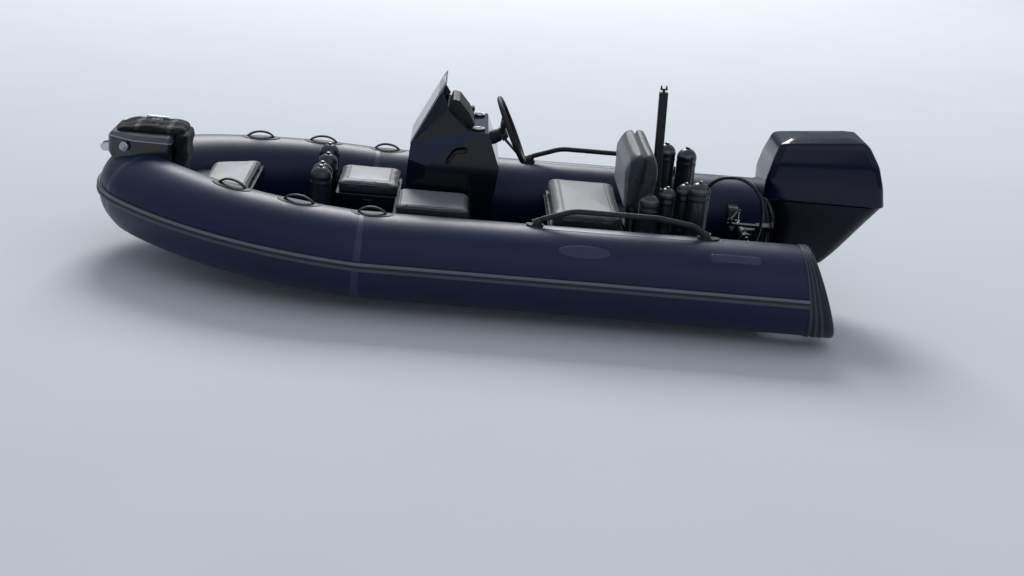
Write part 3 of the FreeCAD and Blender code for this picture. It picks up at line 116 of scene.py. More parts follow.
class Finish:  # a material on one Principled shader
    def __init__(self, name, **constants):
        self.material = bpy.data.materials.new(name)
        self.material.use_nodes = True
        self.tree = self.material.node_tree
        self.shader = self.tree.nodes["Principled BSDF"]
        self.put(self.shader, constants)
        self.spot = self.node("TexCoord", {}, {}, "Object")

    def put(self, node, values):
        for key, value in values.items():
            socket = node.inputs[key.replace("_", " ") if isinstance(key, str) else key]
            if isinstance(value, Wire):
                self.tree.links.new(value.socket, socket)
            else:
                socket.default_value = value

    def node(self, kind, settings, values, output=0):
        made = self.tree.nodes.new("ShaderNode" + kind)
        for key, value in settings.items():
            setattr(made, key, value)
        self.put(made, values)
        return Wire(self, made.outputs[output])

    def noise(self, scale, detail=3.0, rough=0.55, stretch=(1, 1, 1)):
        spot = self.node("Mapping", {}, {"Vector": self.spot, "Scale": stretch})
        values = {"Vector": spot, "Scale": scale, "Detail": detail, "Roughness": rough}
        return self.node("TexNoise", {}, values)

    def cells(self, scale):
        return self.node("TexVoronoi", {}, {"Vector": self.spot, "Scale": scale}, "Distance")

    def axis(self, letter):
        return self.node("SeparateXYZ", {}, {0: self.spot}, letter)

    def rise(self, value, low, high):  # smooth step from 0 at low to 1 at high
        limits = {"Value": value, "From Min": low, "From Max": high}
        return self.node("MapRange", {"interpolation_type": "SMOOTHSTEP"}, limits)

    def blend(self, share, first, second):
        return self.node("Mix", {"data_type": "RGBA"}, {0: share, 6: first, 7: second}, 2)

    def band(self, value, rising, falling):  # 1 between two smooth steps
        return self.rise(value, *rising) * (1 - self.rise(value, *falling))

    def tint(self, share, dark, light):  # between two screen colours
        return self.blend(share, tone(*dark), tone(*light))

    def specks(self, shade, where, span, share, colour):  # a scatter of another screen colour
        return self.blend(self.rise(where, *span) * share, shade, tone(*colour))

    def size(self, value):  # without its sign
        return self.node("Math", {"operation": "ABSOLUTE"}, {0: value})

    def stripes(self, value):  # a half at each whole number, nothing half way between
        return self.size(self.node("Math", {"operation": "FRACT"}, {0: value}) - 0.5)

    def flat(self, letter):  # the piece's own surface coordinates
        return self.node("SeparateXYZ", {}, {0: self.node("TexCoord", {}, {}, "UV")}, letter)

    def dent(self, height, distance, strength=1.0, under=None):
        values = {"Height": height, "Distance": distance, "Strength": strength}
        if under is not None:
            values["Normal"] = under
        return self.node("Bump", {}, values)

    def look(self, shade, rough, bump=None, **others):  # the material with its colour and relief
        self.put(self.shader, {"Base_Color": shade, "Roughness": rough, **others})
        if bump:
            self.put(self.shader, {"Normal": bump})
        return self.material


def gridFaces(rows, columns, wrapRows=False, wrapColumns=False):  # quads between neighbouring grid points
    row = np.arange(rows if wrapRows else rows - 1)
    column = np.arange(columns if wrapColumns else columns - 1)
    row, column = np.meshgrid(row, column, indexing="ij")
    below, beside = (row + 1) % rows, (column + 1) % columns
    near, far = row * columns, below * columns
    return np.stack([near + column, far + column, far + beside, near + beside], -1).reshape(-1, 4)


class Shape:  # collects grids of points into one mesh
    def __init__(self):
        self.points = []
        self.faces = []
        self.flat = []
        self.count = 0

    def add(self, places, faces, flat=None):
        self.points.append(places.reshape(-1, 3))
        self.faces.extend((faces + self.count).tolist())
        self.flat.append(np.zeros((places.size // 3, 2)) if flat is None else flat.reshape(-1, 2))
        self.count += places.size // 3

    def grid(self, places, wrapRows=False, wrapColumns=False, ends=False, flat=None):
        rows, columns = places.shape[:2]
        self.add(places, gridFaces(rows, columns, wrapRows, wrapColumns), flat)
        if ends:  # each end ring closes on its own middle
            for ring in (places[0], places[-1]):
                middle = np.vstack([ring, ring.mean(axis=0)])
                side = np.arange(columns)
                fan = np.stack([side, (side + 1) % columns, np.full(columns, columns)], -1)
                self.add(middle, fan)
        return self

    def rings(self, places, flat=None):  # a grid that closes on itself across
        return self.grid(places, wrapColumns=True, flat=flat)

    def solid(self, places, flat=None):  # the same with both ends shut
        return self.grid(places, wrapColumns=True, ends=True, flat=flat)

    def finish(self, name, look, body, hides=(), slot=None, sharp=38.0):
        mesh = bpy.data.meshes.new(name)
        mesh.from_pydata(np.vstack(self.points).tolist(), [], self.faces)
        layer = mesh.uv_layers.new(name="flat")
        flat = np.vstack(self.flat)
        corner = np.zeros(len(mesh.loops), dtype=np.int32)
        mesh.loops.foreach_get("vertex_index", corner)
        layer.data.foreach_set("uv", flat[corner].astype(np.float32).ravel())
        tidy = bmesh.new()
        tidy.from_mesh(mesh)
        bmesh.ops.remove_doubles(tidy, verts=tidy.verts, dist=1e-6)
        bmesh.ops.recalc_face_normals(tidy, faces=tidy.faces)
        tidy.to_mesh(mesh)
        tidy.free()
        mesh.shade_smooth()
        mesh.set_sharp_from_angle(angle=math.radians(sharp))
        return placePiece(name, mesh, look, body, hides)


def placePiece(name, mesh, look, body, hides=()):
    mesh.materials.clear()
    mesh.materials.append(look)
    made = bpy.data.objects.new(name, mesh)
    show(made)
    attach(made, body)
    if hides:
        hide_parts(*hides)
    return made


def dress(look, *names):  # a finish for solids that stay
    for name in names:
        mesh = nodes[name].data
        mesh.materials.clear()
        mesh.materials.append(look)


def sweep(path, profile, closed=False):
    # a profile of (side, up) pairs carried square to the path; side is upright x heading
    path = np.asarray(path, float)
    ahead = np.roll(path, -1, 0) - np.roll(path, 1, 0)
    if not closed:
        ahead[0] = path[1] - path[0]
        ahead[-1] = path[-1] - path[-2]
    ahead /= np.linalg.norm(ahead, axis=1, keepdims=True)
    side = np.cross((0.0, 0.0, 1.0), ahead)
    side /= np.linalg.norm(side, axis=1, keepdims=True)
    rise = np.cross(ahead, side)
    profile = np.asarray(profile, float)
    if profile.ndim == 2:
        profile = np.repeat(profile[None], len(path), 0)
    return path[:, None] + side[:, None] * profile[..., :1] + rise[:, None] * profile[..., 1:]


def circle(radius, count=12):
    angle = np.arange(count) * 2 * np.pi / count
    return np.stack([np.cos(angle), np.sin(angle)], -1) * radius


def smoothPath(points, count):  # the Catmull-Rom cubic through points, spaced evenly in its parameter
    points = np.asarray(points, float)
    total = len(points)
    spot = np.linspace(0, total - 1, count)
    base = np.minimum(spot.astype(int), total - 2)
    index = np.clip(base[:, None] + np.arange(-1, 3), 0, total - 1)
    share = (spot - base)[:, None]
    before, here, after, beyond = (points[index[:, i]] for i in range(4))
    square = 2 * before - 5 * here + 4 * after - beyond
    cube = 3 * here - before - 3 * after + beyond
    return 0.5 * (2 * here + (after - before) * share + square * share ** 2 + cube * share ** 3)


def evenly(points, count, closed=False):  # points moved to equal spacing along their own line
    points = np.asarray(points, float)
    loop = np.vstack([points, points[:1]]) if closed else points
    length = np.concatenate([[0], np.cumsum(np.linalg.norm(np.diff(loop, axis=0), axis=1))])
    place = np.linspace(0, length[-1], count, endpoint=not closed)
    return np.stack([np.interp(place, length, loop[:, i]) for i in range(loop.shape[1])], -1)


def roundedLoop(x, y, corner, count=96):  # rectangle between x and y limits with round corners
    steps = 96
    angle = np.linspace(0, 2 * np.pi, steps, endpoint=False) + np.pi / (2 * steps)
    sideX = np.where(np.cos(angle) > 0, x[1] - corner, x[0] + corner)
    sideY = np.where(np.sin(angle) > 0, y[1] - corner, y[0] + corner)
    loop = np.stack([sideX + corner * np.cos(angle), sideY + corner * np.sin(angle)], -1)
    return evenly(loop, count, True)


def lathe(profile, centre, axis=(0, 0, 1), count=40):  # (radius, height) pairs turned about an axis
    profile = np.asarray(profile, float)
    axis = np.asarray(axis, float) / np.linalg.norm(axis)
    spare = np.array([1.0, 0, 0]) if abs(axis[0]) < 0.9 else np.array([0, 1.0, 0])
    first = np.cross(axis, spare)
    first /= np.linalg.norm(first)
    second = np.cross(axis, first)
    angle = np.arange(count) * 2 * np.pi / count
    ring = np.cos(angle)[:, None] * first + np.sin(angle)[:, None] * second
    return np.asarray(centre, float) + profile[:, 0, None, None] * ring + profile[:, 1, None, None] * axis


def soften(loop, rounds, middle=1.0):  # each point moves to the weighted mean of itself and its neighbours
    for _ in range(rounds):
        loop = (np.roll(loop, 1, 0) + loop * middle + np.roll(loop, -1, 0)) / (2 + middle)
    return loop


def limits(name):
    low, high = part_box(name)
    return np.array(low), np.array(high)


sides = (("port", 1), ("starboard", -1))


# Lamps, floor and world
studio = {
    "skyTop": tone(224, 232, 244),
    "skyRim": tone(120, 130, 144),
    "skyStrength": 0.55,
    "floor": tone(220, 223, 227),
    "floorShade": tone(214, 217, 222),
    "floorEdge": 40.0,
    "keyPlace": (1.6, -20.0, 16.5),
    "keySize": 11.0,
    "keyPower": 4500.0,
    "frontPlace": (-6.0, 14.0, 9.0),
    "frontSize": 12.0,
    "frontPower": 150.0,
}


def addLamp(name, place, size, power):
    data = bpy.data.lights.new(name, "AREA")
    data.size = size
    data.energy = power
    lamp = bpy.data.objects.new(name, data)
    lamp.location = place
    lamp.rotation_euler = (Vector((0, 0, 0.3)) - Vector(place)).to_track_quat("-Z", "Y").to_euler()
    show(lamp)


def makeStudio(plan):
    scene = bpy.context.scene
    scene.view_settings.view_transform = "Standard"
    world = bpy.data.worlds.new("sky")
    scene.world = world
    world.use_nodes = True
    tree = world.node_tree
    back = tree.nodes["Background"]
    spot = tree.nodes.new("ShaderNodeTexCoord")
    parts = tree.nodes.new("ShaderNodeSeparateXYZ")
    ramp = tree.nodes.new("ShaderNodeValToRGB")
    ramp.color_ramp.elements[0].color = plan["skyRim"]
    ramp.color_ramp.elements[1].color = plan["skyTop"]
    ramp.color_ramp.elements[1].position = 0.5
    tree.links.new(spot.outputs["Generated"], parts.inputs[0])
    tree.links.new(parts.outputs["Z"], ramp.inputs[0])
    tree.links.new(ramp.outputs[0], back.inputs["Color"])
    back.inputs["Strength"].default_value = plan["skyStrength"]
    addLamp("key", plan["keyPlace"], plan["keySize"], plan["keyPower"])
    addLamp("front", plan["frontPlace"], plan["frontSize"], plan["frontPower"])
    mesh = bpy.data.meshes.new("floor")
    edge = plan["floorEdge"]
    corners = [(-edge, -edge, 0), (edge, -edge, 0), (edge, edge, 0), (-edge, edge, 0)]
    mesh.from_pydata(corners, [], [(0, 1, 2, 3)])
    cover = Finish("floorFinish", Specular_IOR_Level=0.1)
    shade = cover.blend(cover.noise(0.8), plan["floor"], plan["floorShade"])
    mesh.materials.append(cover.look(shade, 0.9))
    floor = bpy.data.objects.new("floor", mesh)
    show(floor)


makeStudio(studio)
print("studio ready")


# Finishes
def fabricFinish():  # coated tube cloth: fine weave, soft wear, a satin bloom
    f = Finish("tubeFabric", Specular_IOR_Level=0.3, Coat_Weight=0.18, Coat_Roughness=0.35,
               Sheen_Weight=0.02, Sheen_Roughness=0.5)
    wide, fine, grit = f.noise(1.7), f.noise(26.0), f.noise(900.0, 1.0)
    shade = f.specks(f.tint(wide, (6, 19, 55), (9, 25, 67)), fine, (0.55, 0.75), 0.3, (20, 36, 76))
    bump = f.dent(wide, 0.004, 0.25, f.dent(grit, 0.0004, 0.35))
    return f.look(shade, 0.4 + fine * 0.12, bump)


def plainFinish(name, dark, light, scale, grain, rough, bump, worn=True, **constants):
    # two colours blended by a wide noise, over a relief of fine noise; the roughness follows the fine noise
    # where the finish is worn, and else the wide one
    f = Finish(name, **constants)
    wide, fine = f.noise(scale), f.noise(*grain)
    least, change = rough
    return f.look(f.tint(wide, dark, light), least + (fine if worn else wide) * change, f.dent(fine, *bump))


def glossFinish(name, dark, light, rough, coat, specular=0.35):
    f = Finish(name, Coat_Weight=coat, Coat_Roughness=0.06, Specular_IOR_Level=specular)
    wide, dust, ripple = f.noise(3.0), f.noise(60.0, 4.0), f.noise(14.0, 1.0)
    shade = f.specks(f.tint(wide, dark, light), dust, (0.62, 0.85), 0.06, (120, 126, 134))
    rough = rough + f.rise(dust, 0.45, 0.8) * 0.06
    return f.look(shade, rough, f.dent(ripple, 0.002, 0.06))


def mouldedFinish(name, dark, light):  # moulded plastic with a leathery grain
    f = Finish(name)
    wide, grit = f.noise(12.0), f.cells(700.0)
    bump = f.dent(grit, 0.0004, 0.25)
    return f.look(f.tint(wide, dark, light), 0.5 + wide * 0.1, bump)


def hullFinish():  # pale gelcoat outside, dark non-slip sole and coaming inside
    f = Finish("hullGelcoat", Coat_Weight=0.3, Coat_Roughness=0.15)
    x, y, z = f.axis("X"), f.axis("Y"), f.axis("Z")
    inside = f.rise(z, 0.084, 0.088) * (1 - f.rise(f.size(y), 0.62, 0.63)) * (1 - f.rise(x, 1.2, 1.21))
    wide, dust = f.noise(2.2), f.noise(40.0, 4.0)
    outer = f.tint(wide, (196, 202, 206), (176, 184, 190))
    outer = f.specks(outer, dust, (0.6, 0.85), 0.3, (120, 130, 134))
    outer = f.blend(f.rise(z, -0.06, 0.02) * 0.25, tone(160, 168, 166), outer)
    shade = f.blend(inside, outer, f.tint(dust, (34, 37, 44), (52, 56, 64)))
    dots = f.node("Math", {"operation": "LESS_THAN"}, {0: f.cells(160.0), 1: 0.28})
    rough = 0.22 + inside * 0.38 + dust * 0.08
    return f.look(shade, rough, f.dent(dots * inside, 0.0012, 0.7))


def clothFinish(name, dark, light):  # woven canvas
    f = Finish(name, Sheen_Weight=0.1, Sheen_Roughness=0.6, Specular_IOR_Level=0.3)
    wide, fine = f.noise(7.0), f.noise(60.0)
    threads = {"Vector": f.spot, "Scale": 260.0}
    warp, weft = (f.node("TexWave", {"bands_direction": way}, threads) for way in "XY")
    shade = f.specks(f.tint(wide, dark, light), fine, (0.5, 0.8), 0.2, (50, 52, 58))
    bump = f.dent(fine, 0.001, 0.3, f.dent(warp + weft, 0.0004, 0.5))
    return f.look(shade, 0.72 + fine * 0.15, bump)


def vinylFinish(name, box, seam, top, inset, side=(34, 36, 44)):
    # pale top inside the seam line, dark sides below it, with grain and a stitched groove
    f = Finish(name, Sheen_Weight=0.15, Coat_Weight=0.08, Coat_Roughness=0.4)
    low, high = box
    middle, half = (low + high) / 2, (high - low) / 2
    away = [f.size(f.axis("XYZ"[i]) - float(middle[i])) - float(half[i] - inset) for i in range(2)]
    edge = f.node("Math", {"operation": "MAXIMUM"}, {0: away[0], 1: away[1]})
    groove = f.band(edge, (-0.006, -0.001), (0.001, 0.006))
    rim = float(high[2] - seam)
    topward = f.rise(f.axis("Z"), rim - 0.003, rim + 0.003)
    wide, grit, crease = f.noise(6.0), f.cells(520.0), f.noise(38.0, 4.0)
    pale = f.tint(wide, top, [value - 12 for value in top])
    pale = f.blend(1 - f.rise(edge, -0.002, 0.002), tone(*(int(value * 0.6) for value in top)), pale)
    dark = f.tint(wide, side, [value + 12 for value in side])
    shade = f.blend(topward, dark, pale)
    shade = f.blend(groove * topward * 0.6, shade, tone(70, 70, 76))
    bump = f.dent(crease, 0.0018, 0.22, f.dent(grit, 0.0003, 0.35))
    bump = f.dent(1 - groove * topward, 0.003, 0.8, bump)
    return f.look(shade, 0.44 + crease * 0.14, bump)


tubeLook = fabricFinish()
blackRubber = plainFinish("blackRubber", (20, 21, 25), (34, 36, 40), 9.0, (420.0, 2.0), (0.5, 0.14),
                          (0.0005, 0.3))


def capFinish(plan):  # pale rings where the cap's ridges stand proud of its mouth, a painted highlight on the ridge crests
    f = Finish("capRubber")
    down = f.flat("Y")
    wave = f.node("Math", {"operation": "SINE"}, {0: down * (2 * math.pi / plan["pitch"])})
    end = plan["ridgeEnd"]
    # painted highlight: the ridge crests near the mouth are coloured pale
    rings = f.rise(wave, 0.3, 0.8) * (1 - f.rise(down, end - 0.003, end + 0.001))
    wide, grit = f.noise(9.0), f.noise(420.0, 2.0)
    shade = f.blend(rings * 0.7, f.tint(wide, (18, 21, 30), (28, 32, 43)), tone(72, 80, 97))
    return f.look(shade, 0.4 + grit * 0.14, f.dent(grit, 0.0005, 0.3))


capPlan = {"pitch": 0.024, "ridge": 0.002, "ridgeEnd": 0.072, "ridgeSteps": 100, "gap": 0.002, "wallSteps": 4,
           "wall": 0.003, "tuck": -0.004, "corner": 0.022, "cornerSteps": 10, "dome": 0.004, "domeSteps": 12,
           "columns": 96}
capRubber = capFinish(capPlan)
deckLook = glossFinish("deckGelcoat", (14, 17, 26), (21, 25, 35), 0.26, 0.35)
consoleLook = glossFinish("consoleGelcoat", (8, 12, 22), (12, 17, 30), 0.14, 0.3)
hullLook = hullFinish()
steelLook = plainFinish("polishedSteel", (196, 200, 204), (224, 227, 230), 30.0,
                        (90.0, 3.0, 0.6, (1, 1, 12)), (0.2, 0.15), (0.0003, 0.1), Metallic=1.0)
plasticLook = mouldedFinish("blackNylon", (16, 17, 20), (28, 30, 34))
coverLook = clothFinish("coverCloth", (8, 9, 12), (17, 18, 22))
cowlLook = glossFinish("motorGloss", (2, 8, 33), (5, 13, 46), 0.14, 0.1, 0.28)
caseLook = glossFinish("motorCase", (3, 6, 17), (8, 11, 25), 0.36, 0.05, 0.25)
print("finishes ready")


# Steering hose: its line is drawn by these control points, from the aft locker down to the tilt tube
hosePlan = {
    "points": ((-1.296, 0.252, 0.376), (-1.296, 0.252, 0.56), (-1.33, 0.315, 0.725), (-1.462, 0.408, 0.78),
               (-1.585, 0.428, 0.7), (-1.616, 0.394, 0.535), (-1.6, 0.3, 0.362), (-1.6, 0.14, 0.362)),
    "diameter": 0.018,
    "length": 1.13,
    "sleeve": ((1.75, 0.0), (1.7, 0.008), (1.4, 0.012), (1.42, 0.018), (1.25, 0.022), (1.27, 0.03),
               (1.12, 0.034), (1.02, 0.045)),
}


def makeHose(plan, look):
    line = bpy.data.curves.new("steeringHose", "CURVE")
    line.dimensions = "3D"
    run = line.splines.new("NURBS")
    run.points.add(len(plan["points"]) - 1)
    run.points.foreach_set("co", np.array([(*point, 1.0) for point in plan["points"]], np.float32).ravel())
    run.order_u = 3
    run.use_endpoint_u = True
    run.resolution_u = 24
    line.bevel_depth = plan["diameter"] / 2
    line.bevel_resolution = 5
    line.use_fill_caps = True
    line.materials.append(look)
    hose = bpy.data.objects.new("steeringHose", line)
    show(hose)
    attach(hose, "boat")
    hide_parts("steering_hose")
    radius = plan["diameter"] / 2
    sleeve = np.array(plan["sleeve"]) * (radius, 1)
    relief = Shape().rings(lathe(sleeve, plan["points"][0]))
    relief = relief.finish("hoseSleeve", look, "boat", (), "black_rubber")


hoseLook = plainFinish("hoseRubber", (20, 21, 26), (30, 31, 36), 9.0, (300.0, 2.0), (0.28, 0.14),
                       (0.0005, 0.3))
makeHose(hosePlan, hoseLook)


# Tubes
boat = {
    "tubeY": 0.695, "tubeZ": 0.28, "sternRadius": 0.23, "seamRadius": 0.218, "seamX": 0.46, "seamRun": 0.04,
    "bowRadius": 1.556, "bowAngle": 43.5, "bowTilt": 3.8, "endX": -1.8, "capLength": 0.105, "capLean": 9.0,
    "endLean": 21.0,
}
bend = math.radians(boat["bowAngle"])
noseY = boat["tubeY"] - boat["bowRadius"] * (1 - math.cos(bend))
noseRadius = noseY / math.cos(bend)
arcX = boat["seamX"] + boat["seamRun"]
noseX = arcX + boat["bowRadius"] * math.sin(bend) - noseRadius * math.sin(bend)
sideRun = boat["bowRadius"] * bend
halfBow = boat["seamRun"] + sideRun + noseRadius * (math.pi / 2 - bend)
sideLength = boat["seamX"] - boat["endX"]


def tubeRadius(travel):  # travel is 0 at the port seam, less aft of it, and runs round the bow to starboard
    aft = np.maximum(-np.minimum(travel, 2 * halfBow - travel), 0)
    return boat["seamRadius"] + (boat["sternRadius"] - boat["seamRadius"]) * aft / sideLength


def alongTube(travel, out, up):
    # a straight side, a long arc, then a nose arc about the centreline, all tilted up forward of the seam
    travel, out, up = np.broadcast_arrays(travel, out, up)
    near = np.minimum(travel, 2 * halfBow - travel)
    side = np.where(travel <= halfBow, 1.0, -1.0)
    onArc = np.clip((near - boat["seamRun"]) / boat["bowRadius"], 0, bend)
    onNose = np.maximum(near - boat["seamRun"] - sideRun, 0) / noseRadius
    angle = onArc + onNose
    straight = np.minimum(near, boat["seamRun"])
    arcPlaceX = boat["seamX"] + straight + boat["bowRadius"] * np.sin(onArc)
    arcPlaceY = boat["tubeY"] - boat["bowRadius"] * (1 - np.cos(onArc))
    nose = onNose > 0
    x = np.where(nose, noseX + noseRadius * np.sin(angle), arcPlaceX) + out * np.sin(angle)
    y = np.where(nose, noseRadius * np.cos(angle), arcPlaceY) + out * np.cos(angle)
    tilt = math.radians(boat["bowTilt"])
    mitre = up * math.tan(tilt / 2) * np.clip(1 - np.abs(near) / boat["seamRun"], 0, 1)
    x = x + np.where(near > 0, mitre, -mitre)
    ahead = near > 0
    run = x - boat["seamX"]
    tiltX = boat["seamX"] + run * math.cos(tilt) - up * math.sin(tilt)
    tiltZ = boat["tubeZ"] + run * math.sin(tilt) + up * math.cos(tilt)
    return np.stack([np.where(ahead, tiltX, x), y * side, np.where(ahead, tiltZ, boat["tubeZ"] + up)], -1)


def roundTube(travel, angle, radius):  # a point at an angle about the tube's axis
    return alongTube(travel, radius * np.cos(angle), radius * np.sin(angle))


def tubeSkin(first, last, rows, columns=96):  # distances, angles and radii of a stretch of tube
    travel = np.linspace(first, last, rows)[:, None]
    angle = (np.arange(columns) * 2 * np.pi / columns)[None]
    return travel, angle, tubeRadius(travel)


def leanEnd(places, travel, length, degrees):  # the stern end is cut on a slope
    share = np.clip(1 - (travel - travel.min()) / length, 0, 1) ** 2
    places[..., 0] += share * (places[..., 2] - boat["tubeZ"]) * math.tan(math.radians(degrees))
    return places


def makeTubes():  # circles about the tube's axis, the bow's swelling by a faint sine of the distance
    travel, angle, radius = tubeSkin(0.0, 2 * halfBow, 220)
    radius = radius + 0.0006 * np.sin(travel * 7.0) * np.sin(angle)
    shape = Shape().solid(roundTube(travel, angle, radius))
    shape.finish("bowTube", tubeLook, "boat", ("tube_bow",), "tube_fabric")
    for name, mirror in sides:
        travel, angle, radius = tubeSkin(-sideLength, 0.0, 110)
        places = leanEnd(roundTube(travel, angle, radius), travel, 0.3, boat["capLean"])
        places[..., 1] *= mirror
        shape = Shape().solid(places)
        shape.finish(name + "Tube", tubeLook, "boat", ("tube_" + name,), "tube_fabric")


# the tape's navy, lighter than the tube, also colours a painted patch of sunlight on the crest
tapeAndPaintedSunLook = plainFinish("seamTape", (14, 28, 66), (22, 38, 80), 14.0, (700.0, 1.0), (0.36, 0.12),
                       (0.0004, 0.35), False, Coat_Weight=0.3, Coat_Roughness=0.4)
tapePlan = {
    "places": ((0.0, 0.018), (2 * halfBow, 0.018), (halfBow - 0.22, 0.016), (halfBow + 0.22, 0.016)),
    "thick": 0.0016, "sunk": 0.0001,
}
# Each patch: x, half its length, angle up from outboard, half its angle, squareness
patchPlan = {
    # the second piece is a painted patch of sunlight on the crest
    "pieces": ((-1.42, 0.125, 51.0, 6.0, 9.0), (-0.66, 0.13, 44.0, 9.0, 2.0), (-0.87, 0.5, 88.0, 8.0, 8.0)),
    "thick": 0.0016, "sunk": 0.0003, "around": 64, "steps": 8, "rim": (0.94, 0.97, 0.99, 1.0, 1.003),
    "rimPower": 24,
}


def makeSeamTapes(plan):  # glued bands over each joint, raised by one less the sixth power across them
    shape = Shape()
    for middle, width in plan["places"]:
        travel, angle, radius = tubeSkin(middle - width, middle + width, 9)
        swell = plan["thick"] * (1 - (np.abs(travel - middle) / width) ** 6)
        shape.rings(roundTube(travel, angle, radius + swell - plan["sunk"]))
    shape.finish("seamTapes", tapeAndPaintedSunLook, "boat", (), "tube_fabric")


def padRings(plan):  # shares of the way out from a pad's middle, and the angles round it
    rho = np.concatenate([np.linspace(0.02, plan["rim"][0], plan["steps"]), plan["rim"][1:]])
    phi = np.arange(plan["around"]) * 2 * np.pi / plan["around"]
    return rho[:, None], phi[None]


def makePatches(plan):
    # raised patches on the crest, each a superellipse of distance and angle with a rim that drops to the
    # skin; the second, oval one is a painted patch of sunlight, not a real patch
    shape = Shape()
    rho, phi = padRings(plan)
    lift = plan["thick"] * np.sqrt(np.clip(1 - np.minimum(rho, 1) ** plan["rimPower"], 0, 1)) - plan["sunk"]
    for x, half, centre, spread, power in plan["pieces"]:
        for _, mirror in sides:
            size = (np.abs(np.cos(phi)) ** power + np.abs(np.sin(phi)) ** power) ** (-1 / power)
            along = x - boat["seamX"] + half * rho * size * np.cos(phi)
            angle = np.radians(centre + spread * rho * size * np.sin(phi))
            places = roundTube(along, angle, tubeRadius(along) + lift)
            places[..., 1] *= mirror
            shape.solid(places)
    shape.finish("crestPatchesAndPaintedSun", tapeAndPaintedSunLook, "boat", (), "tube_fabric", 50.0)


strakePlan = {"half": 0.024, "base": 0.008, "rib": 0.013, "slope": 0.005, "inner": 0.004}


def strakeProfile():  # two soft ribs on a base band, out from the tube's skin, from the foot up
    half, base, rib, slope, inner = (strakePlan[key] for key in ("half", "base", "rib", "slope", "inner"))
    points = [(-0.002, -half), (base, -half), (rib, -half + slope), (rib, -inner - slope), (base, -inner),
              (base, inner), (rib, inner + slope), (rib, half - slope), (base, half), (-0.002, half)]
    return smoothPath(points, 55)


def strakeFinish():
    f = Finish("strakeRubber")
    across = f.flat("Y")
    ribs = f.band(across, (0.005, 0.007), (0.0215, 0.0235))
    lower = f.band(across, (-0.0235, -0.0215), (-0.007, -0.005))
    wide, grit = f.noise(11.0), f.noise(300.0, 2.0)
    pale = f.tint(wide, (88, 92, 102), (108, 112, 122))
    shade = f.blend(ribs, f.tint(wide, (22, 24, 30), (32, 34, 42)), pale)
    shade = f.blend(lower * 0.8, shade, tone(72, 76, 88))
    return f.look(shade, 0.42 + grit * 0.12, f.dent(grit, 0.0006, 0.3))


def makeStrake():  # the profile carried round the tubes, each point out from the circle's own chord
    profile = strakeProfile()
    shape = Shape()
    for first, last, rows in ((boat["endX"] - boat["seamX"], 0.0, 60), (0.0, 2 * halfBow, 220),
                              (2 * halfBow, 2 * halfBow + sideLength, 60)):
        travel = np.linspace(first, last, rows)[:, None]
        up = np.repeat(profile[None, :, 1], rows, 0)
        out = np.sqrt(np.maximum(tubeRadius(travel) ** 2 - up ** 2, 0)) + profile[None, :, 0]
        flat = np.stack([np.repeat(travel, len(profile), 1), up], -1)
        shape.grid(alongTube(travel, out, up), flat=flat)
    shape.finish("rubStrake", strakeFinish(), "boat", ("rub_strake",), "strake_grey", 60.0)


def makeCaps(plan):
    # rubber end caps: a sine gives the ridges at the mouth, a quarter circle the rim, and each ring leans
    # more the deeper it lies
    length, radius = boat["capLength"], boat["sternRadius"] + plan["wall"]
    corner, end = plan["corner"], plan["ridgeEnd"]
    ridged = np.linspace(plan["tuck"], end + 2 * plan["gap"], plan["ridgeSteps"])
    plain = np.linspace(end + 3 * plan["gap"], length - corner, plan["wallSteps"])
    down = np.concatenate([ridged, plain])
    wave = np.sin(np.maximum(down, 0) * 2 * np.pi / plan["pitch"])
    wall = np.stack([radius + plan["ridge"] * np.where(down < end, wave, 0), down], -1)
    turn = np.linspace(0, np.pi / 2, plan["cornerSteps"])
    rim = np.stack([radius - corner + corner * np.cos(turn), length - corner + corner * np.sin(turn)], -1)
    steps = plan["domeSteps"]
    dome = length + plan["dome"] * np.linspace(0, 1, steps) ** 0.5
    face = np.stack([np.linspace(radius - corner - plan["gap"], 2 * plan["gap"], steps), dome], -1)
    profile = np.vstack([wall, rim, face])
    reach, depth = profile[:, :1], profile[:, 1:]
    angle = np.linspace(0, 2 * np.pi, plan["columns"], endpoint=False)
    y, z = reach * np.cos(angle), reach * np.sin(angle)
    lean = boat["capLean"] + (boat["endLean"] - boat["capLean"]) * np.clip(depth / length, 0, 1)
    x = boat["endX"] - depth + z * np.tan(np.radians(lean))
    flat = np.stack([np.repeat(angle[None], len(profile), 0), np.repeat(depth, len(angle), 1)], -1)
    for name, mirror in sides:
        places = np.stack([x, mirror * (boat["tubeY"] + y), boat["tubeZ"] + z], -1)
        hides = ("tube_caps",) if mirror == 1 else ()
        shape = Shape().solid(places, flat)
        shape.finish(name + "Cap", capRubber, "boat", hides, "black_rubber", 60.0)


makeTubes()
makeSeamTapes(tapePlan)
makePatches(patchPlan)
makeStrake()
makeCaps(capPlan)
print("tubes ready")


# Padded pieces
padPlan = {"voxel": 0.006, "frames": 14, "pressure": 4.0, "shrink": 0.002, "cap": 0.007, "welt": 0.0035,
           "rimSteps": 6, "wallSteps": 4, "fadeSteps": 12, "sunk": 0.001, "weltDrop": 0.004}


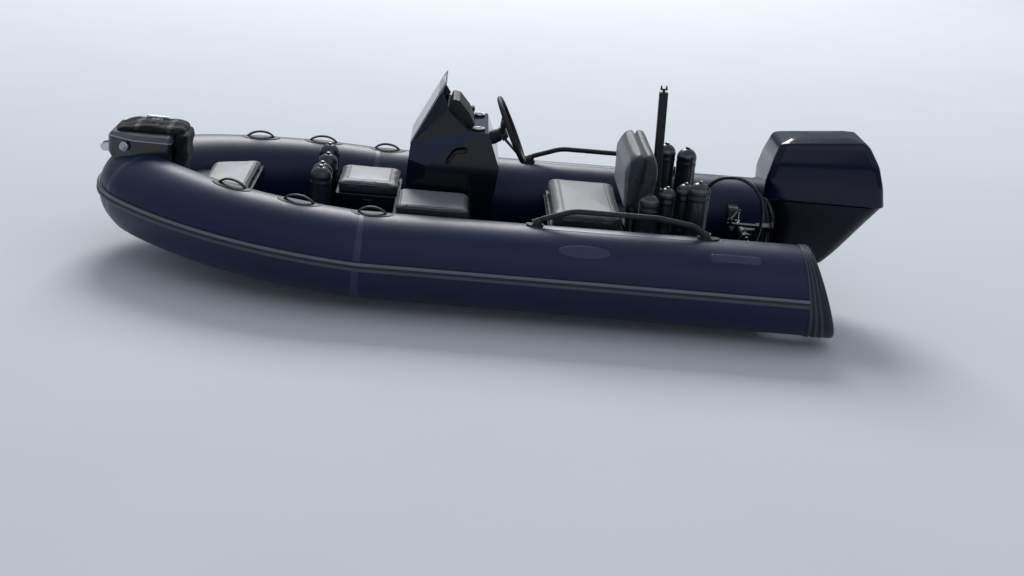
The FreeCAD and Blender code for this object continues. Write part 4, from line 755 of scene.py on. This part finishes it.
def slabPoints(outline, low, high, crown, pull, roundEdge=0.02):
    # outline loops stacked from bottom to top: a quarter circle at both rims, a parabola for the waist, and
    # the loops drawn in towards the middle by a cosine over the crowned top and the flat underside
    outline = np.asarray(outline, float)
    middle = outline.mean(axis=0)
    reach = np.linalg.norm(outline - middle, axis=1)
    turn = np.linspace(0, np.pi / 2, padPlan["rimSteps"])
    steps = padPlan["wallSteps"]
    wall = np.linspace(low + roundEdge, high - roundEdge, steps + 2)[1:-1]
    lower, upper = roundEdge * (1 - np.cos(turn)), roundEdge * np.sin(turn)
    height = np.concatenate([low + lower, wall, high - roundEdge + upper])
    inset = np.concatenate([roundEdge * (1 - np.sin(turn)), np.zeros(steps), lower])
    inset = inset + pull * 0.5 * (1 - (2 * (height - low) / (high - low) - 1) ** 2)
    fade = np.cos(np.linspace(0, np.pi / 2, padPlan["fadeSteps"] + 2))[1:-1]
    rim = 1 - roundEdge / reach
    share = np.vstack([fade[::-1, None] * rim, 1 - inset[:, None] / reach, fade[:, None] * rim])
    level = np.concatenate([np.full(len(fade), low), height, high + crown * (1 - fade ** 2)])
    flat = middle + (outline - middle) * share[..., None]
    return np.concatenate([flat, np.repeat(level[:, None, None], len(outline), 1)], -1)


def stuffed(name, places, look, body, hides, slot, cap=padPlan["cap"], fill=0.7):
    # a closed grid made even, blown up for a few frames, and moved by no more than the cap
    shape = Shape().solid(places)
    made = shape.finish(name, look, body, hides, slot, 80.0)
    mesh = made.data
    loose = bpy.data.objects.new(name + "Loose", mesh.copy())
    show(loose)
    remesh = loose.modifiers.new("even", "REMESH")
    remesh.mode = "VOXEL"
    remesh.voxel_size = padPlan["voxel"]
    even = bpy.data.meshes.new_from_object(loose.evaluated_get(bpy.context.evaluated_depsgraph_get()))
    loose.modifiers.clear()
    loose.data = even
    count = len(even.vertices)
    start, swollen = np.zeros(count * 3, np.float32), np.zeros(count * 3, np.float32)
    even.vertices.foreach_get("co", start)
    cloth = loose.modifiers.new("fill", "CLOTH")
    cloth.settings.use_pressure = True
    cloth.settings.uniform_pressure_force = padPlan["pressure"]
    cloth.settings.effector_weights.gravity = 0
    scene = bpy.context.scene
    for number in range(1, padPlan["frames"] + 1):
        scene.frame_set(number)
    grown = loose.evaluated_get(bpy.context.evaluated_depsgraph_get()).data
    grown.vertices.foreach_get("co", swollen)
    move = (swollen - start).reshape(-1, 3)
    length = np.linalg.norm(move, axis=1, keepdims=True)
    move *= np.minimum(1, cap / np.maximum(length, 1e-9))
    loose.modifiers.clear()
    even.vertices.foreach_set("co", (start.reshape(-1, 3) + move).ravel())
    even.update()
    even.shade_smooth()
    even.materials.clear()
    even.materials.append(look)
    made.data = even
    bpy.data.objects.remove(loose)
    bpy.data.meshes.remove(mesh)
    scene.frame_set(1)
    return made


def piping(name, loop, level, made, body):  # a welt cord that lies on the pad's own surface at a level
    tree = BVHTree.FromObject(made, bpy.context.evaluated_depsgraph_get())
    loop = np.column_stack([loop, np.full(len(loop), level)])
    spots = soften(np.array([tree.find_nearest(Vector(point))[0] for point in loop]), 1, 2.0)
    shape = Shape().grid(sweep(spots, circle(padPlan["welt"], 8), True), wrapRows=True, wrapColumns=True)
    shape.finish(name + "Welt", pipingLook, body, (), "vinyl_grey")


pipingLook = plainFinish("welting", (30, 32, 40), (46, 48, 56), 9.0, (900.0, 2.0), (0.5, 0.14),
                         (0.0005, 0.3))
seats = (
    {"name": "frontPad", "node": "front_cushion", "body": "front_lid", "corner": 0.035, "crown": 0.012,
     "pull": 0.012, "top": (150, 149, 154), "inset": 0.055, "seam": 0.016},
    {"name": "sidePad", "node": "side_cushion", "body": "boat", "corner": 0.04, "crown": 0.01,
     "pull": 0.01, "top": (112, 113, 120), "inset": 0.03, "seam": 0.014},
    {"name": "helmPad", "node": "helm_cushion", "body": "helm_lid", "corner": 0.045, "crown": 0.014,
     "pull": 0.012, "top": (124, 123, 128), "inset": 0.06, "seam": 0.02},
)
swell = padPlan["shrink"]


def makeSeats():
    for seat in seats:
        low, high = limits(seat["node"])
        look = vinylFinish(seat["name"] + "Vinyl", (low, high), seat["seam"], seat["top"], seat["inset"])
        (left, right, _), (start, end, _) = low + swell, high - swell
        outline = roundedLoop((left, start), (right, end), seat["corner"])
        top = high[2] - seat["crown"] - swell
        places = slabPoints(outline, low[2] + padPlan["sunk"], top, seat["crown"], seat["pull"])
        made = stuffed(seat["name"], places, look, seat["body"], (seat["node"],), "vinyl_grey")
        piping(seat["name"], outline, high[2] - seat["seam"] - padPlan["weltDrop"], made, seat["body"])


bowPadPlan = {"aftHalf": 0.31, "foreHalf": 0.192, "crown": 0.01, "pull": 0.006, "seam": 0.016, "inset": 0.03,
              "top": (150, 148, 150), "welt": 0.018, "around": 160, "softenings": 6}


def makeBowPad(plan):  # the same stack of loops over a four-sided outline with softened corners
    low, high = limits("bow_cushion")
    wide, narrow = plan["aftHalf"] - swell, plan["foreHalf"] - swell
    aft, fore = low[0] + swell, high[0] - swell
    corners = np.array([(aft, -wide), (fore, -narrow), (fore, narrow), (aft, wide)])
    outline = soften(evenly(corners, plan["around"], True), plan["softenings"])
    look = vinylFinish("bowPadVinyl", (low, high), plan["seam"], plan["top"], plan["inset"])
    top = high[2] - plan["crown"] - swell
    places = slabPoints(outline, low[2] + padPlan["sunk"], top, plan["crown"], plan["pull"])
    made = stuffed("bowPad", places, look, "boat", ("bow_cushion",), "vinyl_grey")
    piping("bowPad", outline, high[2] - plan["welt"], made, "boat")


backPlan = {
    "front": ((-0.896, 0.512), (-0.89, 0.64), (-0.886, 0.742), (-0.925, 0.821), (-0.962, 0.84),
              (-0.974, 0.786), (-0.936, 0.512)),
    "rear": ((-0.942, 0.512), (-0.98, 0.788), (-0.97, 0.834), (-1.012, 0.836), (-1.041, 0.774), (-1.051, 0.7),
             (-1.034, 0.6), (-1.008, 0.512)),
    "half": 0.328, "middle": -0.01, "corner": 0.06, "cornerSteps": 9, "acrossSteps": 13, "around": 90,
    "softenings": 4, "draw": 0.03, "leastShare": 0.3,
}


def makeBackrest(plan):  # side outlines carried across the boat, drawn in to each end by a quarter circle
    half, corner = plan["half"] - swell, plan["corner"]
    flank, draw, steps = half - corner, plan["draw"], plan["acrossSteps"]
    turn = np.linspace(0, np.pi / 2, plan["cornerSteps"])
    across = np.linspace(-flank, flank, steps + 2)[1:-1]
    ends = np.concatenate([-half + corner * (1 - np.cos(turn)), across, flank + corner * np.sin(turn)])
    tuck = np.concatenate([draw * (1 - np.sin(turn)), np.zeros(steps), draw * (1 - np.cos(turn))])
    for key, hides in (("front", ("backrest",)), ("rear", ())):
        outline = soften(evenly(plan[key], plan["around"], True), plan["softenings"])
        middle = outline.mean(axis=0)
        reach = np.linalg.norm(outline - middle, axis=1)
        share = np.clip(1 - (tuck + swell * 0.6)[:, None] / reach, plan["leastShare"], 1)
        spot = middle + (outline - middle) * share[..., None]
        y = np.repeat(ends[:, None] + plan["middle"], len(outline), 1)
        name = key + "Back"
        places = np.stack([spot[..., 0], y, spot[..., 1]], -1)
        stuffed(name, places, backFinish(name + "Vinyl"), "boat", hides, "vinyl_grey")


def backFinish(name):  # pale where it faces the driver, with upright channels
    f = Finish(name, Sheen_Weight=0.2, Coat_Weight=0.06, Coat_Roughness=0.4)
    wide, grit, crease = f.noise(6.0), f.cells(520.0), f.noise(38.0, 4.0)
    dark = f.tint(wide, (34, 36, 45), (46, 49, 59))
    pale = f.tint(wide, (104, 108, 118), (88, 92, 102))
    shade = f.blend(f.rise(f.axis("X"), -0.905, -0.897), dark, pale)
    channel = f.rise(f.stripes(f.axis("Y") * 6.0), 0.0, 0.05)
    bump = f.dent(crease, 0.0018, 0.22, f.dent(grit, 0.0003, 0.35))
    return f.look(shade, 0.44 + crease * 0.14, f.dent(channel, 0.004, 0.5, bump))


def webbingFinish(name, dark, light):
    f = Finish(name, Sheen_Weight=0.3, Sheen_Roughness=0.5)
    weave = f.node("TexWave", {"bands_direction": "DIAGONAL"}, {"Vector": f.spot, "Scale": 320.0})
    wide = f.noise(20.0)
    shade = f.tint(weave * 0.5 + wide * 0.5, dark, light)
    return f.look(shade, 0.6 + wide * 0.2, f.dent(weave, 0.0006, 0.5))


strapLook = webbingFinish("strapWebbing", (18, 19, 24), (40, 42, 49))


# Each slab: foot, top, crown, waist and rim
bundlePlan = {
    "x": (1.44, 1.815), "y": (-0.12, 0.13), "corner": 0.05, "slab": (0.6735, 0.695, 0.006, 0.004, 0.01),
    "fold": 0.006, "foldWaves": (62, 3.0, 9), "ripple": 0.005, "rippleWaves": (31, 17), "slope": 0.03,
    "level": 1.6, "foldDepth": 0.011, "foldFade": 0.01, "swell": 0.006, "fill": 0.4,
    "tailX": (1.437, 1.494), "tailY": (-0.12, 0.135), "tailCorner": 0.02, "tailBack": 0.003,
    "tailSlab": (0.5, 0.678, 0.006, 0.012, 0.012), "tailRipple": 0.005, "tailWaves": (60, 25),
    "straps": (1.53, 1.7), "strapY": (-0.13, 0.145), "strapHalf": 0.0125, "strapThick": 0.002,
    "strapTop": 0.705, "strapFlat": 0.118, "strapBend": 0.018, "strapDrop": 0.028, "strapSteps": 40,
    "strapSway": 0.004, "strapWave": 30,
}


def makeBundle(plan):
    # a folded cover: a low slab with folds from two sine waves, and a tail that hangs down the step's aft end
    places = slabPoints(roundedLoop(plan["x"], plan["y"], plan["corner"]), *plan["slab"])
    x, y = places[..., 0], places[..., 1]
    top = np.clip((places[..., 2] - plan["slab"][1] + plan["foldDepth"]) / plan["foldFade"], 0, 1)
    (first, sway, bends), (second, third) = plan["foldWaves"], plan["rippleWaves"]
    folds = plan["fold"] * np.sin(y * first + sway * np.sin(x * bends))
    folds = folds + plan["ripple"] * np.sin(x * second + y * third)
    places[..., 2] += top * (folds - plan["slope"] * (x - plan["level"]))
    swollen = (plan["swell"], plan["fill"])
    made = stuffed("coverBundle", places, coverLook, "boat", ("bow_bundle",), "cover_cloth", *swollen)
    places = slabPoints(roundedLoop(plan["tailX"], plan["tailY"], plan["tailCorner"]), *plan["tailSlab"])
    first, second = plan["tailWaves"]
    wave = plan["tailRipple"] * np.sin(places[..., 2] * first + places[..., 1] * second)
    places[..., 0] += wave - plan["tailBack"]
    stuffed("coverTail", places, coverLook, "boat", (), "cover_cloth", *swollen)
    tree = BVHTree.FromObject(made, bpy.context.evaluated_depsgraph_get())
    half, thick = plan["strapHalf"], plan["strapThick"]
    band = np.array([(-half, 0), (-half, thick), (half, thick), (half, 0)])
    y = np.linspace(*plan["strapY"], plan["strapSteps"])
    drop = np.clip((np.abs(y - sum(plan["strapY"]) / 2) - plan["strapFlat"]) / plan["strapBend"], 0, 1)
    shape = Shape()
    for x in plan["straps"]:
        height = plan["strapTop"] - plan["slope"] * (x - plan["level"]) - drop ** 2 * plan["strapDrop"]
        line = np.column_stack([x + plan["strapSway"] * np.sin(y * plan["strapWave"]), y, height])
        onto = np.array([tree.find_nearest(Vector(point))[0] for point in line])
        onto[1:-1] = (onto[:-2] + 2 * onto[1:-1] + onto[2:]) / 4
        shape.solid(sweep(onto, band))
    shape.finish("coverStraps", strapLook, "boat", (), "nylon_black")


makeSeats()
makeBowPad(bowPadPlan)
makeBackrest(backPlan)
makeBundle(bundlePlan)
print("pads ready")


# Bow step, cleat, roller and lights
def stepFinish():  # dark moulding with a grey upper band and a pale line under it
    f = Finish("stepGelcoat", Coat_Weight=0.4, Coat_Roughness=0.1)
    edge = f.axis("Z") - f.axis("X") * 0.0135
    band = f.rise(edge, 0.6235, 0.6245)
    line = f.rise(edge, 0.6175, 0.6185) * (1 - band)
    wide, dust, ripple = f.noise(3.0), f.noise(70.0, 4.0), f.noise(14.0, 1.0)
    shade = f.blend(band, f.tint(wide, (14, 17, 27), (21, 25, 36)), f.tint(wide, (66, 69, 76), (78, 81, 89)))
    shade = f.blend(line, shade, tone(150, 156, 168))
    shade = f.specks(shade, dust, (0.6, 0.85), 0.06, (120, 124, 130))
    rough = 0.2 + f.rise(dust, 0.45, 0.8) * 0.08
    return f.look(shade, rough, f.dent(ripple, 0.002, 0.06))


def lensFinish(name, colour):
    f = Finish(name, Coat_Weight=1.0, Coat_Roughness=0.03, Transmission_Weight=0.3)
    ribs = f.node("TexWave", {"bands_direction": "Z"}, {"Vector": f.spot, "Scale": 90.0})
    wide = f.noise(20.0)
    shade = f.tint(wide, colour, [min(255, value + 20) for value in colour])
    return f.look(shade, 0.12 + wide * 0.1, f.dent(ribs, 0.0006, 0.3))


bowLightPlan = {
    "spot": (1.743, 0.193, 0.608), "out": (0.36, 0.93, 0.0), "lens": 0.0205, "face": 0.0145,
    "rim": ((0.0, 0.004), (0.02, 0.004), (0.025, 0.0), (0.025, 0.012), (0.0225, 0.0145), (0.0205, 0.0145)),
    "port": (186, 190, 196), "starboard": (184, 192, 190),
}


def makeBowLights(plan):  # a turned steel rim with a quarter-round glass
    turn = np.linspace(0, np.pi / 2, 8)
    dome = np.column_stack([plan["lens"] * np.cos(turn), plan["face"] + plan["lens"] * np.sin(turn)])
    dome[-1, 0] = 0.0004
    for name, mirror in sides:
        spot, out = (np.array(plan[key]) * (1, mirror, 1) for key in ("spot", "out"))
        hides = ("bow_lights",) if mirror > 0 else ()
        rim = Shape().rings(lathe(plan["rim"], spot, out))
        rim.finish(name + "LightRim", steelLook, "boat", hides, "stainless")
        glass = Shape().solid(lathe(dome, spot, out))
        glass.finish(name + "Lens", lensFinish(name + "Lens", plan[name]), "boat", (), "lamp_white")


makeBowLights(bowLightPlan)
dress(stepFinish(), "bow_step")
dress(steelLook, "bow_cleat", "roller_cheeks", "steering_ram")
dress(plasticLook, "console_grip")
dress(blackRubber, "bow_roller")


# Grips and rails
bootPlan = {
    "feet": ((-0.414, (-0.707, 0, 0.707)), (-1.288, (0.792, 0, 0.611))), "rail": 0.0155, "inboard": 0.012,
    "lift": 0.006,
    "profile": ((1.9, 0.0), (1.95, 0.004), (1.55, 0.008), (1.6, 0.013), (1.38, 0.017), (1.42, 0.022),
                (1.22, 0.026), (1.24, 0.031), (1.0, 0.034)),
}
gripPlan = {"places": (1.14, 0.79, 0.412), "half": 0.078, "rise": 0.033, "wide": 0.0125, "thick": 0.0065,
            "padLength": 0.115, "padWidth": 0.046, "padThick": 0.004, "sunk": 0.0005, "around": 48,
            "steps": 9, "rim": (0.9, 0.95, 0.98, 1.0, 1.005), "rimPower": 12, "padPower": 0.8, "foot": 0.001,
            "archSteps": 33, "archSides": 14, "archPower": 0.7, "taper": 0.25, "flare": 0.8, "flarePower": 6}


def travelAt(x):  # where the tube's axis passes x, as a distance from the seam
    run = (x - boat["seamX"]) / math.cos(math.radians(boat["bowTilt"]))
    if run <= boat["seamRun"]:
        return x - boat["seamX"]
    return boat["seamRun"] + boat["bowRadius"] * math.asin((run - boat["seamRun"]) / boat["bowRadius"])


def makeGrips(plan):
    # superellipse pads glued to the crest, each with an arch that rises by one less the square along it
    share = np.linspace(-1, 1, plan["archSteps"])
    turn = np.arange(plan["archSides"]) * 2 * np.pi / plan["archSides"]
    taper = (1 - plan["taper"] + plan["taper"] * (1 - share ** 2))[:, None]
    flare = (1 + plan["flare"] * np.abs(share) ** plan["flarePower"])[:, None]
    wide, thick = plan["wide"] * flare * np.cos(turn), plan["thick"] * np.sin(turn)
    section = np.stack([wide * taper, thick * taper], -1)
    rho, phi = padRings(plan)
    power = plan["padPower"]
    across = plan["padWidth"] * rho * np.sign(np.sin(phi)) * np.abs(np.sin(phi)) ** power
    run = plan["padLength"] * rho * np.sign(np.cos(phi)) * np.abs(np.cos(phi)) ** power
    drop = np.sqrt(np.clip(1 - np.minimum(rho, 1) ** plan["rimPower"], 0, 1))
    lift = plan["padThick"] * drop - plan["sunk"]
    for name, mirror in sides:
        shape = Shape()
        for start in map(travelAt, plan["places"]):
            travel = start + plan["half"] * share
            height = tubeRadius(travel) + plan["rise"] * (1 - share ** 2) ** plan["archPower"] - plan["foot"]
            radius = tubeRadius(start + run) + lift
            arch = sweep(alongTube(travel, np.zeros(len(travel)), height), section)
            pad = roundTube(start + run, np.pi / 2 + across / radius, radius)
            for places in (arch, pad):
                shape.solid(places * (1, mirror, 1))
        shape.finish(name + "Grips", blackRubber, "boat", ("grips_" + name,), "black_rubber", 50.0)


makeGrips(gripPlan)


def makeRailBoots(plan):  # ridged rubber boots where each rail leaves its feet, turned about the rail
    for name, mirror in sides:
        shape = Shape()
        for x, axis in plan["feet"]:
            crest = boat["tubeZ"] + float(tubeRadius(np.array(x - boat["seamX"])))
            spot = (x, mirror * (boat["tubeY"] - plan["inboard"]), crest + plan["lift"])
            profile = np.array(plan["profile"]) * (plan["rail"], 1)
            shape.rings(lathe(profile, spot, axis, 24))
        shape.finish(name + "RailBoots", blackRubber, "boat", (), "black_rubber", 60.0)


makeRailBoots(bootPlan)
dress(blackRubber, "rail_port", "rail_starboard")


# Boxes, console and helm
def screenFinish():
    f = Finish("smokedScreen", Specular_IOR_Level=0.3, Coat_Weight=0.15, Coat_Roughness=0.05)
    wide, dust = f.noise(2.0), f.noise(90.0, 4.0)
    shade = f.specks(f.tint(wide, (20, 26, 37), (30, 37, 50)), dust, (0.66, 0.9), 0.12, (120, 124, 130))
    clear = f.rise(f.axis("Z"), 0.99, 1.03)
    return f.look(shade, 0.1 + dust * 0.08, Alpha=0.9 - clear * 0.35)


wheelPlan = {"centre": (-0.281, -0.105, 0.806), "rake": 25.8, "grip": (0.164, 0.166)}


def wheelFinish(plan):  # grained grip beyond a distance from the hub, plain spokes inside it
    f = Finish("wheelMix", Metallic=0.0)
    rake = math.radians(plan["rake"])
    x, y, z = (f.axis(letter) - place for letter, place in zip("XYZ", plan["centre"]))
    tall = x * math.sin(rake) + z * math.cos(rake)
    radius = f.node("Math", {"operation": "SQRT"}, {0: y * y + tall * tall})
    rim = f.rise(radius, *plan["grip"])
    wide, grit = f.noise(14.0), f.cells(600.0)
    shade = f.blend(rim, f.tint(wide, (30, 32, 36), (42, 44, 49)), f.tint(wide, (18, 19, 22), (28, 29, 33)))
    rough = 0.34 + rim * 0.2 + wide * 0.08
    return f.look(shade, rough, f.dent(grit * rim, 0.0006, 0.4))


def consoleFinish():  # gloss moulding; faces on the shoulder that turn upward are lighter navy, a painted highlight
    f = Finish("consoleGloss", Coat_Weight=0.2, Coat_Roughness=0.05, Specular_IOR_Level=0.35)
    z = f.axis("Z")
    wide, dust, ripple = f.noise(3.0), f.noise(60.0, 4.0), f.noise(14.0, 1.0)
    upward = f.node("SeparateXYZ", {}, {0: f.node("NewGeometry", {}, {}, "Normal")}, "Z")
    # painted highlight: faces that turn upward between these heights are lightened as if lit from above
    litFacet = f.rise(upward, 0.1, 0.16) * (1 - f.rise(z, 0.86, 0.9)) * f.rise(z, 0.6, 0.62)
    litNavy = f.tint(wide, (28, 42, 66), (38, 53, 78))
    shade = f.blend(litFacet * 0.8, f.tint(wide, (6, 9, 17), (10, 14, 25)), litNavy)
    shade = f.specks(shade, dust, (0.62, 0.85), 0.06, (120, 126, 134))
    rough = 0.13 + f.rise(dust, 0.45, 0.8) * 0.06
    return f.look(shade, rough, f.dent(ripple, 0.002, 0.05))


dress(consoleFinish(), "console")
dress(consoleLook, "front_seat_box", "side_seat_box", "helm_seat_box", "aft_locker")
dress(deckLook, "bow_locker", "transom", "front_seat_lid", "helm_seat_lid")
dress(hullLook, "hull")
dress(plasticLook, "dash_pod", "gauges", "helm_column", "throttle", "screen_frame", "backrest_frame",
      "mast_light", "light_mast")
dress(screenFinish(), "windscreen")


def tubeAlong(shape, points, radius, count=10):  # a round bar along a line
    shape.solid(sweep(points, circle(radius, count)))


screenPlan = {"middle": -0.105, "foot": (0.2535, 0.209, 0.74), "head": (0.0905, 0.177, 1.067),
              "radius": 0.0032, "steps": 24}


def makeScreenEdges(plan):  # the cut rims of the smoked screen, whose pale colour is a painted highlight
    centre = np.array([0, plan["middle"], 0])
    foot, head = np.array(plan["foot"]), np.array(plan["head"])
    other = head * (1, -1, 1)
    share = np.linspace(0, 1, plan["steps"])[:, None]
    shape = Shape()
    for low, high in ((foot, head), (foot * (1, -1, 1), other), (other, head)):
        tubeAlong(shape, centre + low + (high - low) * share, plan["radius"])
    # painted highlight: the rims are coloured pale to stand for light along the screen's edges
    cut = plainFinish("acrylicRimHighlight", (128, 138, 154), (164, 174, 188), 30.0, (200.0, 2.0, 0.6, (1, 1, 8)),
                      (0.2, 0.2), (0.0004, 0.3), Coat_Weight=1.0, Coat_Roughness=0.05)
    shape.finish("screenEdges", cut, "boat", (), "screen_smoke")


def dialFinish():  # a ring of pale ticks, a fifth of it left out
    f = Finish("dialFace", Coat_Weight=1.0, Coat_Roughness=0.04)
    turn, reach = f.flat("X"), f.flat("Y")
    tick = f.rise(f.stripes(turn * 24.0), 0.42, 0.46)
    marks = tick * f.band(reach, (0.74, 0.76), (0.92, 0.94)) * (1 - f.rise(turn, 0.8, 0.801))
    wide = f.noise(40.0)
    shade = f.blend(marks, f.tint(wide, (12, 13, 16), (22, 23, 27)), tone(214, 216, 220))
    return f.look(shade, 0.25 + wide * 0.1, f.dent(marks, 0.0002, 0.3))


dialPlan = {
    "x": -0.101, "dials": ((-0.288, 0.034), (0.078, 0.029)), "sunk": 0.0012, "edge": 0.006, "hand": 0.0008,
    "ring": ((-0.007, -0.001), (-0.005, 0.0016), (-0.0015, 0.0018), (0.0004, -0.002)),
    "handFrom": (-0.2, -0.14), "handTo": (0.75, 0.5),
}


def makeDials(plan):  # flat faces and rims turned about each dial's middle, with a thin round hand
    face, rim, needle = Shape(), Shape(), Shape()
    top = limits("gauges")[1][2]
    rows, columns = 10, 48
    turn = np.repeat(np.linspace(0, 1, columns, endpoint=False)[None], rows, 0)
    for y, radius in plan["dials"]:
        centre = np.array([plan["x"], y, top - plan["sunk"]])
        edge = radius - plan["edge"]
        profile = np.column_stack([np.linspace(edge, 0.0008, rows), np.full(rows, -0.0008)])
        reach = np.repeat((profile[:, 0] / edge)[:, None], columns, 1)
        disc = lathe(profile, centre, count=columns)
        face.rings(disc, np.stack([turn, reach], -1))
        rim.rings(lathe(np.array(plan["ring"]) + (radius, 0), centre, count=columns))
        hand = np.linspace(plan["handFrom"], plan["handTo"], 12) * radius * 0.8
        tubeAlong(needle, centre + np.column_stack([hand, np.full(12, 0.0002)]), plan["hand"], 6)
    face.finish("dialFaces", dialFinish(), "boat", (), "instrument")
    rim.finish("dialRims", steelLook, "boat", (), "stainless")
    handPaint = plainFinish("palePaint", (196, 198, 202), (216, 218, 222), 40.0, (500.0, 2.0), (0.4, 0.1),
                            (0.0002, 0.2), False)
    needle.finish("dialHands", handPaint, "boat", (), "instrument")


makeScreenEdges(screenPlan)
makeDials(dialPlan)
dress(wheelFinish(wheelPlan), "steering_wheel")
dress(caseLook, "clamp_bracket", "swivel_bracket", "steering_yoke", "steering_link", "powerhead", "leg",
      "gearcase", "propeller", "cowl_lower")

# Engine cover: rounded rectangles stacked up, with a bevelled shoulder under a crowned top
cowlPlan = {
    "sections": ((0.6125, -1.655, -2.302, 0.184, 0.052), (0.618, -1.650, -2.306, 0.188, 0.052),
                 (0.72, -1.648, -2.283, 0.195, 0.042), (0.82, -1.670, -2.248, 0.188, 0.038),
                 (0.905, -1.698, -2.190, 0.170, 0.036), (0.924, -1.706, -2.170, 0.163, 0.034),
                 (0.934, -1.718, -2.155, 0.153, 0.03), (0.949, -1.77, -2.10, 0.095, 0.03),
                 (0.957, -1.85, -2.02, 0.025, 0.015)),
    "perSpan": 8,
    "ring": 240,
    "riseAft": 0.095,
    "riseFrom": -1.93,
}


def makeCowl(plan):  # rounded rectangles stacked up, their aft ends lifted by the square of the height
    sections = np.array(plan["sections"])
    number = np.arange(len(sections))
    spot = np.linspace(0, number[-1], number[-1] * plan["perSpan"] + 1)
    rows = np.column_stack([np.interp(spot, number, column) for column in sections.T])
    for _ in range(2):
        rows[1:-1] = (rows[:-2] + 2 * rows[1:-1] + rows[2:]) / 4
    rings = []
    for z, front, aft, half, corner in rows:
        ring = roundedLoop((aft, front), (-half, half), min(corner, half * 0.95), plan["ring"])
        share = ((z - sections[0, 0]) / (sections[-1, 0] - sections[0, 0])) ** 2
        lift = share * plan["riseAft"] * (plan["riseFrom"] - ring[:, 0])
        rings.append(np.column_stack([ring, z + lift]))
    shape = Shape().solid(np.array(rings))
    shape.finish("engineCover", cowlLook, "motor", ("cowl_top",), "motor_black", 60.0)


makeCowl(cowlPlan)


# Fenders: x, y, foot height, length and radius of each
fenderPlan = {
    "bow": ((0.702, 0.322, 0.09, 0.54, 0.056), (0.706, 0.192, 0.09, 0.528, 0.055),
            (0.702, -0.122, 0.09, 0.502, 0.056), (0.706, -0.258, 0.09, 0.524, 0.056)),
    "port": ((-1.01, 0.415, 0.36, 0.29, 0.056), (-1.106, 0.345, 0.36, 0.316, 0.048),
             (-1.206, 0.3, 0.36, 0.334, 0.05), (-1.264, 0.404, 0.36, 0.374, 0.058)),
    "starboard": ((-1.06, -0.398, 0.36, 0.3, 0.052), (-1.176, -0.404, 0.36, 0.385, 0.056),
                  (-1.294, -0.388, 0.36, 0.372, 0.057)),
}
fenderShape = {"neck": 0.24, "ring": 0.0022, "ringWidth": 0.006, "lowRing": 0.02, "highRing": 0.022,
               "steps": 10, "bodySteps": 60, "foot": 0.004, "head": 0.006, "gap": 0.006, "tip": 0.0006}
fenderVinyl = (("bow", (18, 20, 26), (28, 30, 38), 0.0), ("port", (22, 24, 31), (36, 38, 47), 0.4),
               ("starboard", (22, 24, 31), (36, 38, 47), 0.6))


def fenderFinish(name, dark, light, band):
    f = Finish(name, Coat_Weight=0.5, Coat_Roughness=0.12)
    wide, dust, ripple = f.noise(9.0), f.noise(60.0, 4.0), f.noise(22.0, 1.0)
    stripe = f.band(f.flat("Y"), (0.86, 0.87), (0.9, 0.91))
    shade = f.blend(stripe * band, f.tint(wide, dark, light), tone(110, 116, 128))
    shade = f.specks(shade, dust, (0.6, 0.85), 0.3, (110, 112, 118))
    return f.look(shade, 0.24 + dust * 0.2, f.dent(ripple, 0.002, 0.15))


def fenderProfile(length, radius):
    # round foot, straight body with a bell-shaped ring near each end, round head and a small rope eye
    plan = fenderShape
    neck, ring, tip = radius * plan["neck"], plan["ring"], plan["tip"]
    turn = np.linspace(0, math.acos(neck / radius), plan["steps"])
    across, along = radius * np.cos(turn), radius * np.sin(turn)
    footTop, headFoot = radius + plan["foot"], length - plan["head"] - radius
    low, high = footTop + plan["gap"], headFoot - plan["gap"]
    level = np.linspace(low, high, plan["bodySteps"])
    rings = (high - plan["highRing"], low + plan["lowRing"])
    ridge = sum(ring * np.exp(-((level - place) / plan["ringWidth"]) ** 2) for place in rings)
    foot = np.column_stack([across, footTop - along])[::-1]
    body = np.column_stack([radius - ring + ridge, level])
    head = np.column_stack([across, headFoot + along])
    boss = [(neck, length - 0.003), (neck * 0.8, length), (neck * 0.5, length - 0.001), (tip, length - 0.001)]
    return np.vstack([[(tip, 0.0), (neck * 0.9, 0.002)], foot, body, head, boss])


def makeFenders():  # the profile turned about an upright line, with its share of the height for the stripe
    count = 36
    for key, dark, light, band in fenderVinyl:
        shape = Shape()
        for x, y, foot, length, radius in fenderPlan[key]:
            profile = fenderProfile(length, radius)
            along = np.repeat(profile[:, 1:] / length, count, 1)
            flat = np.stack([np.repeat(np.linspace(0, 1, count)[None], len(profile), 0), along], -1)
            shape.solid(lathe(profile, (x, y, foot), count=count), flat)
        look = fenderFinish(key + "FenderVinyl", dark, light, band)
        shape.finish(key + "Fenders", look, "boat", (key + "_fenders",), "fender_vinyl")


makeFenders()
print("deck gear ready")
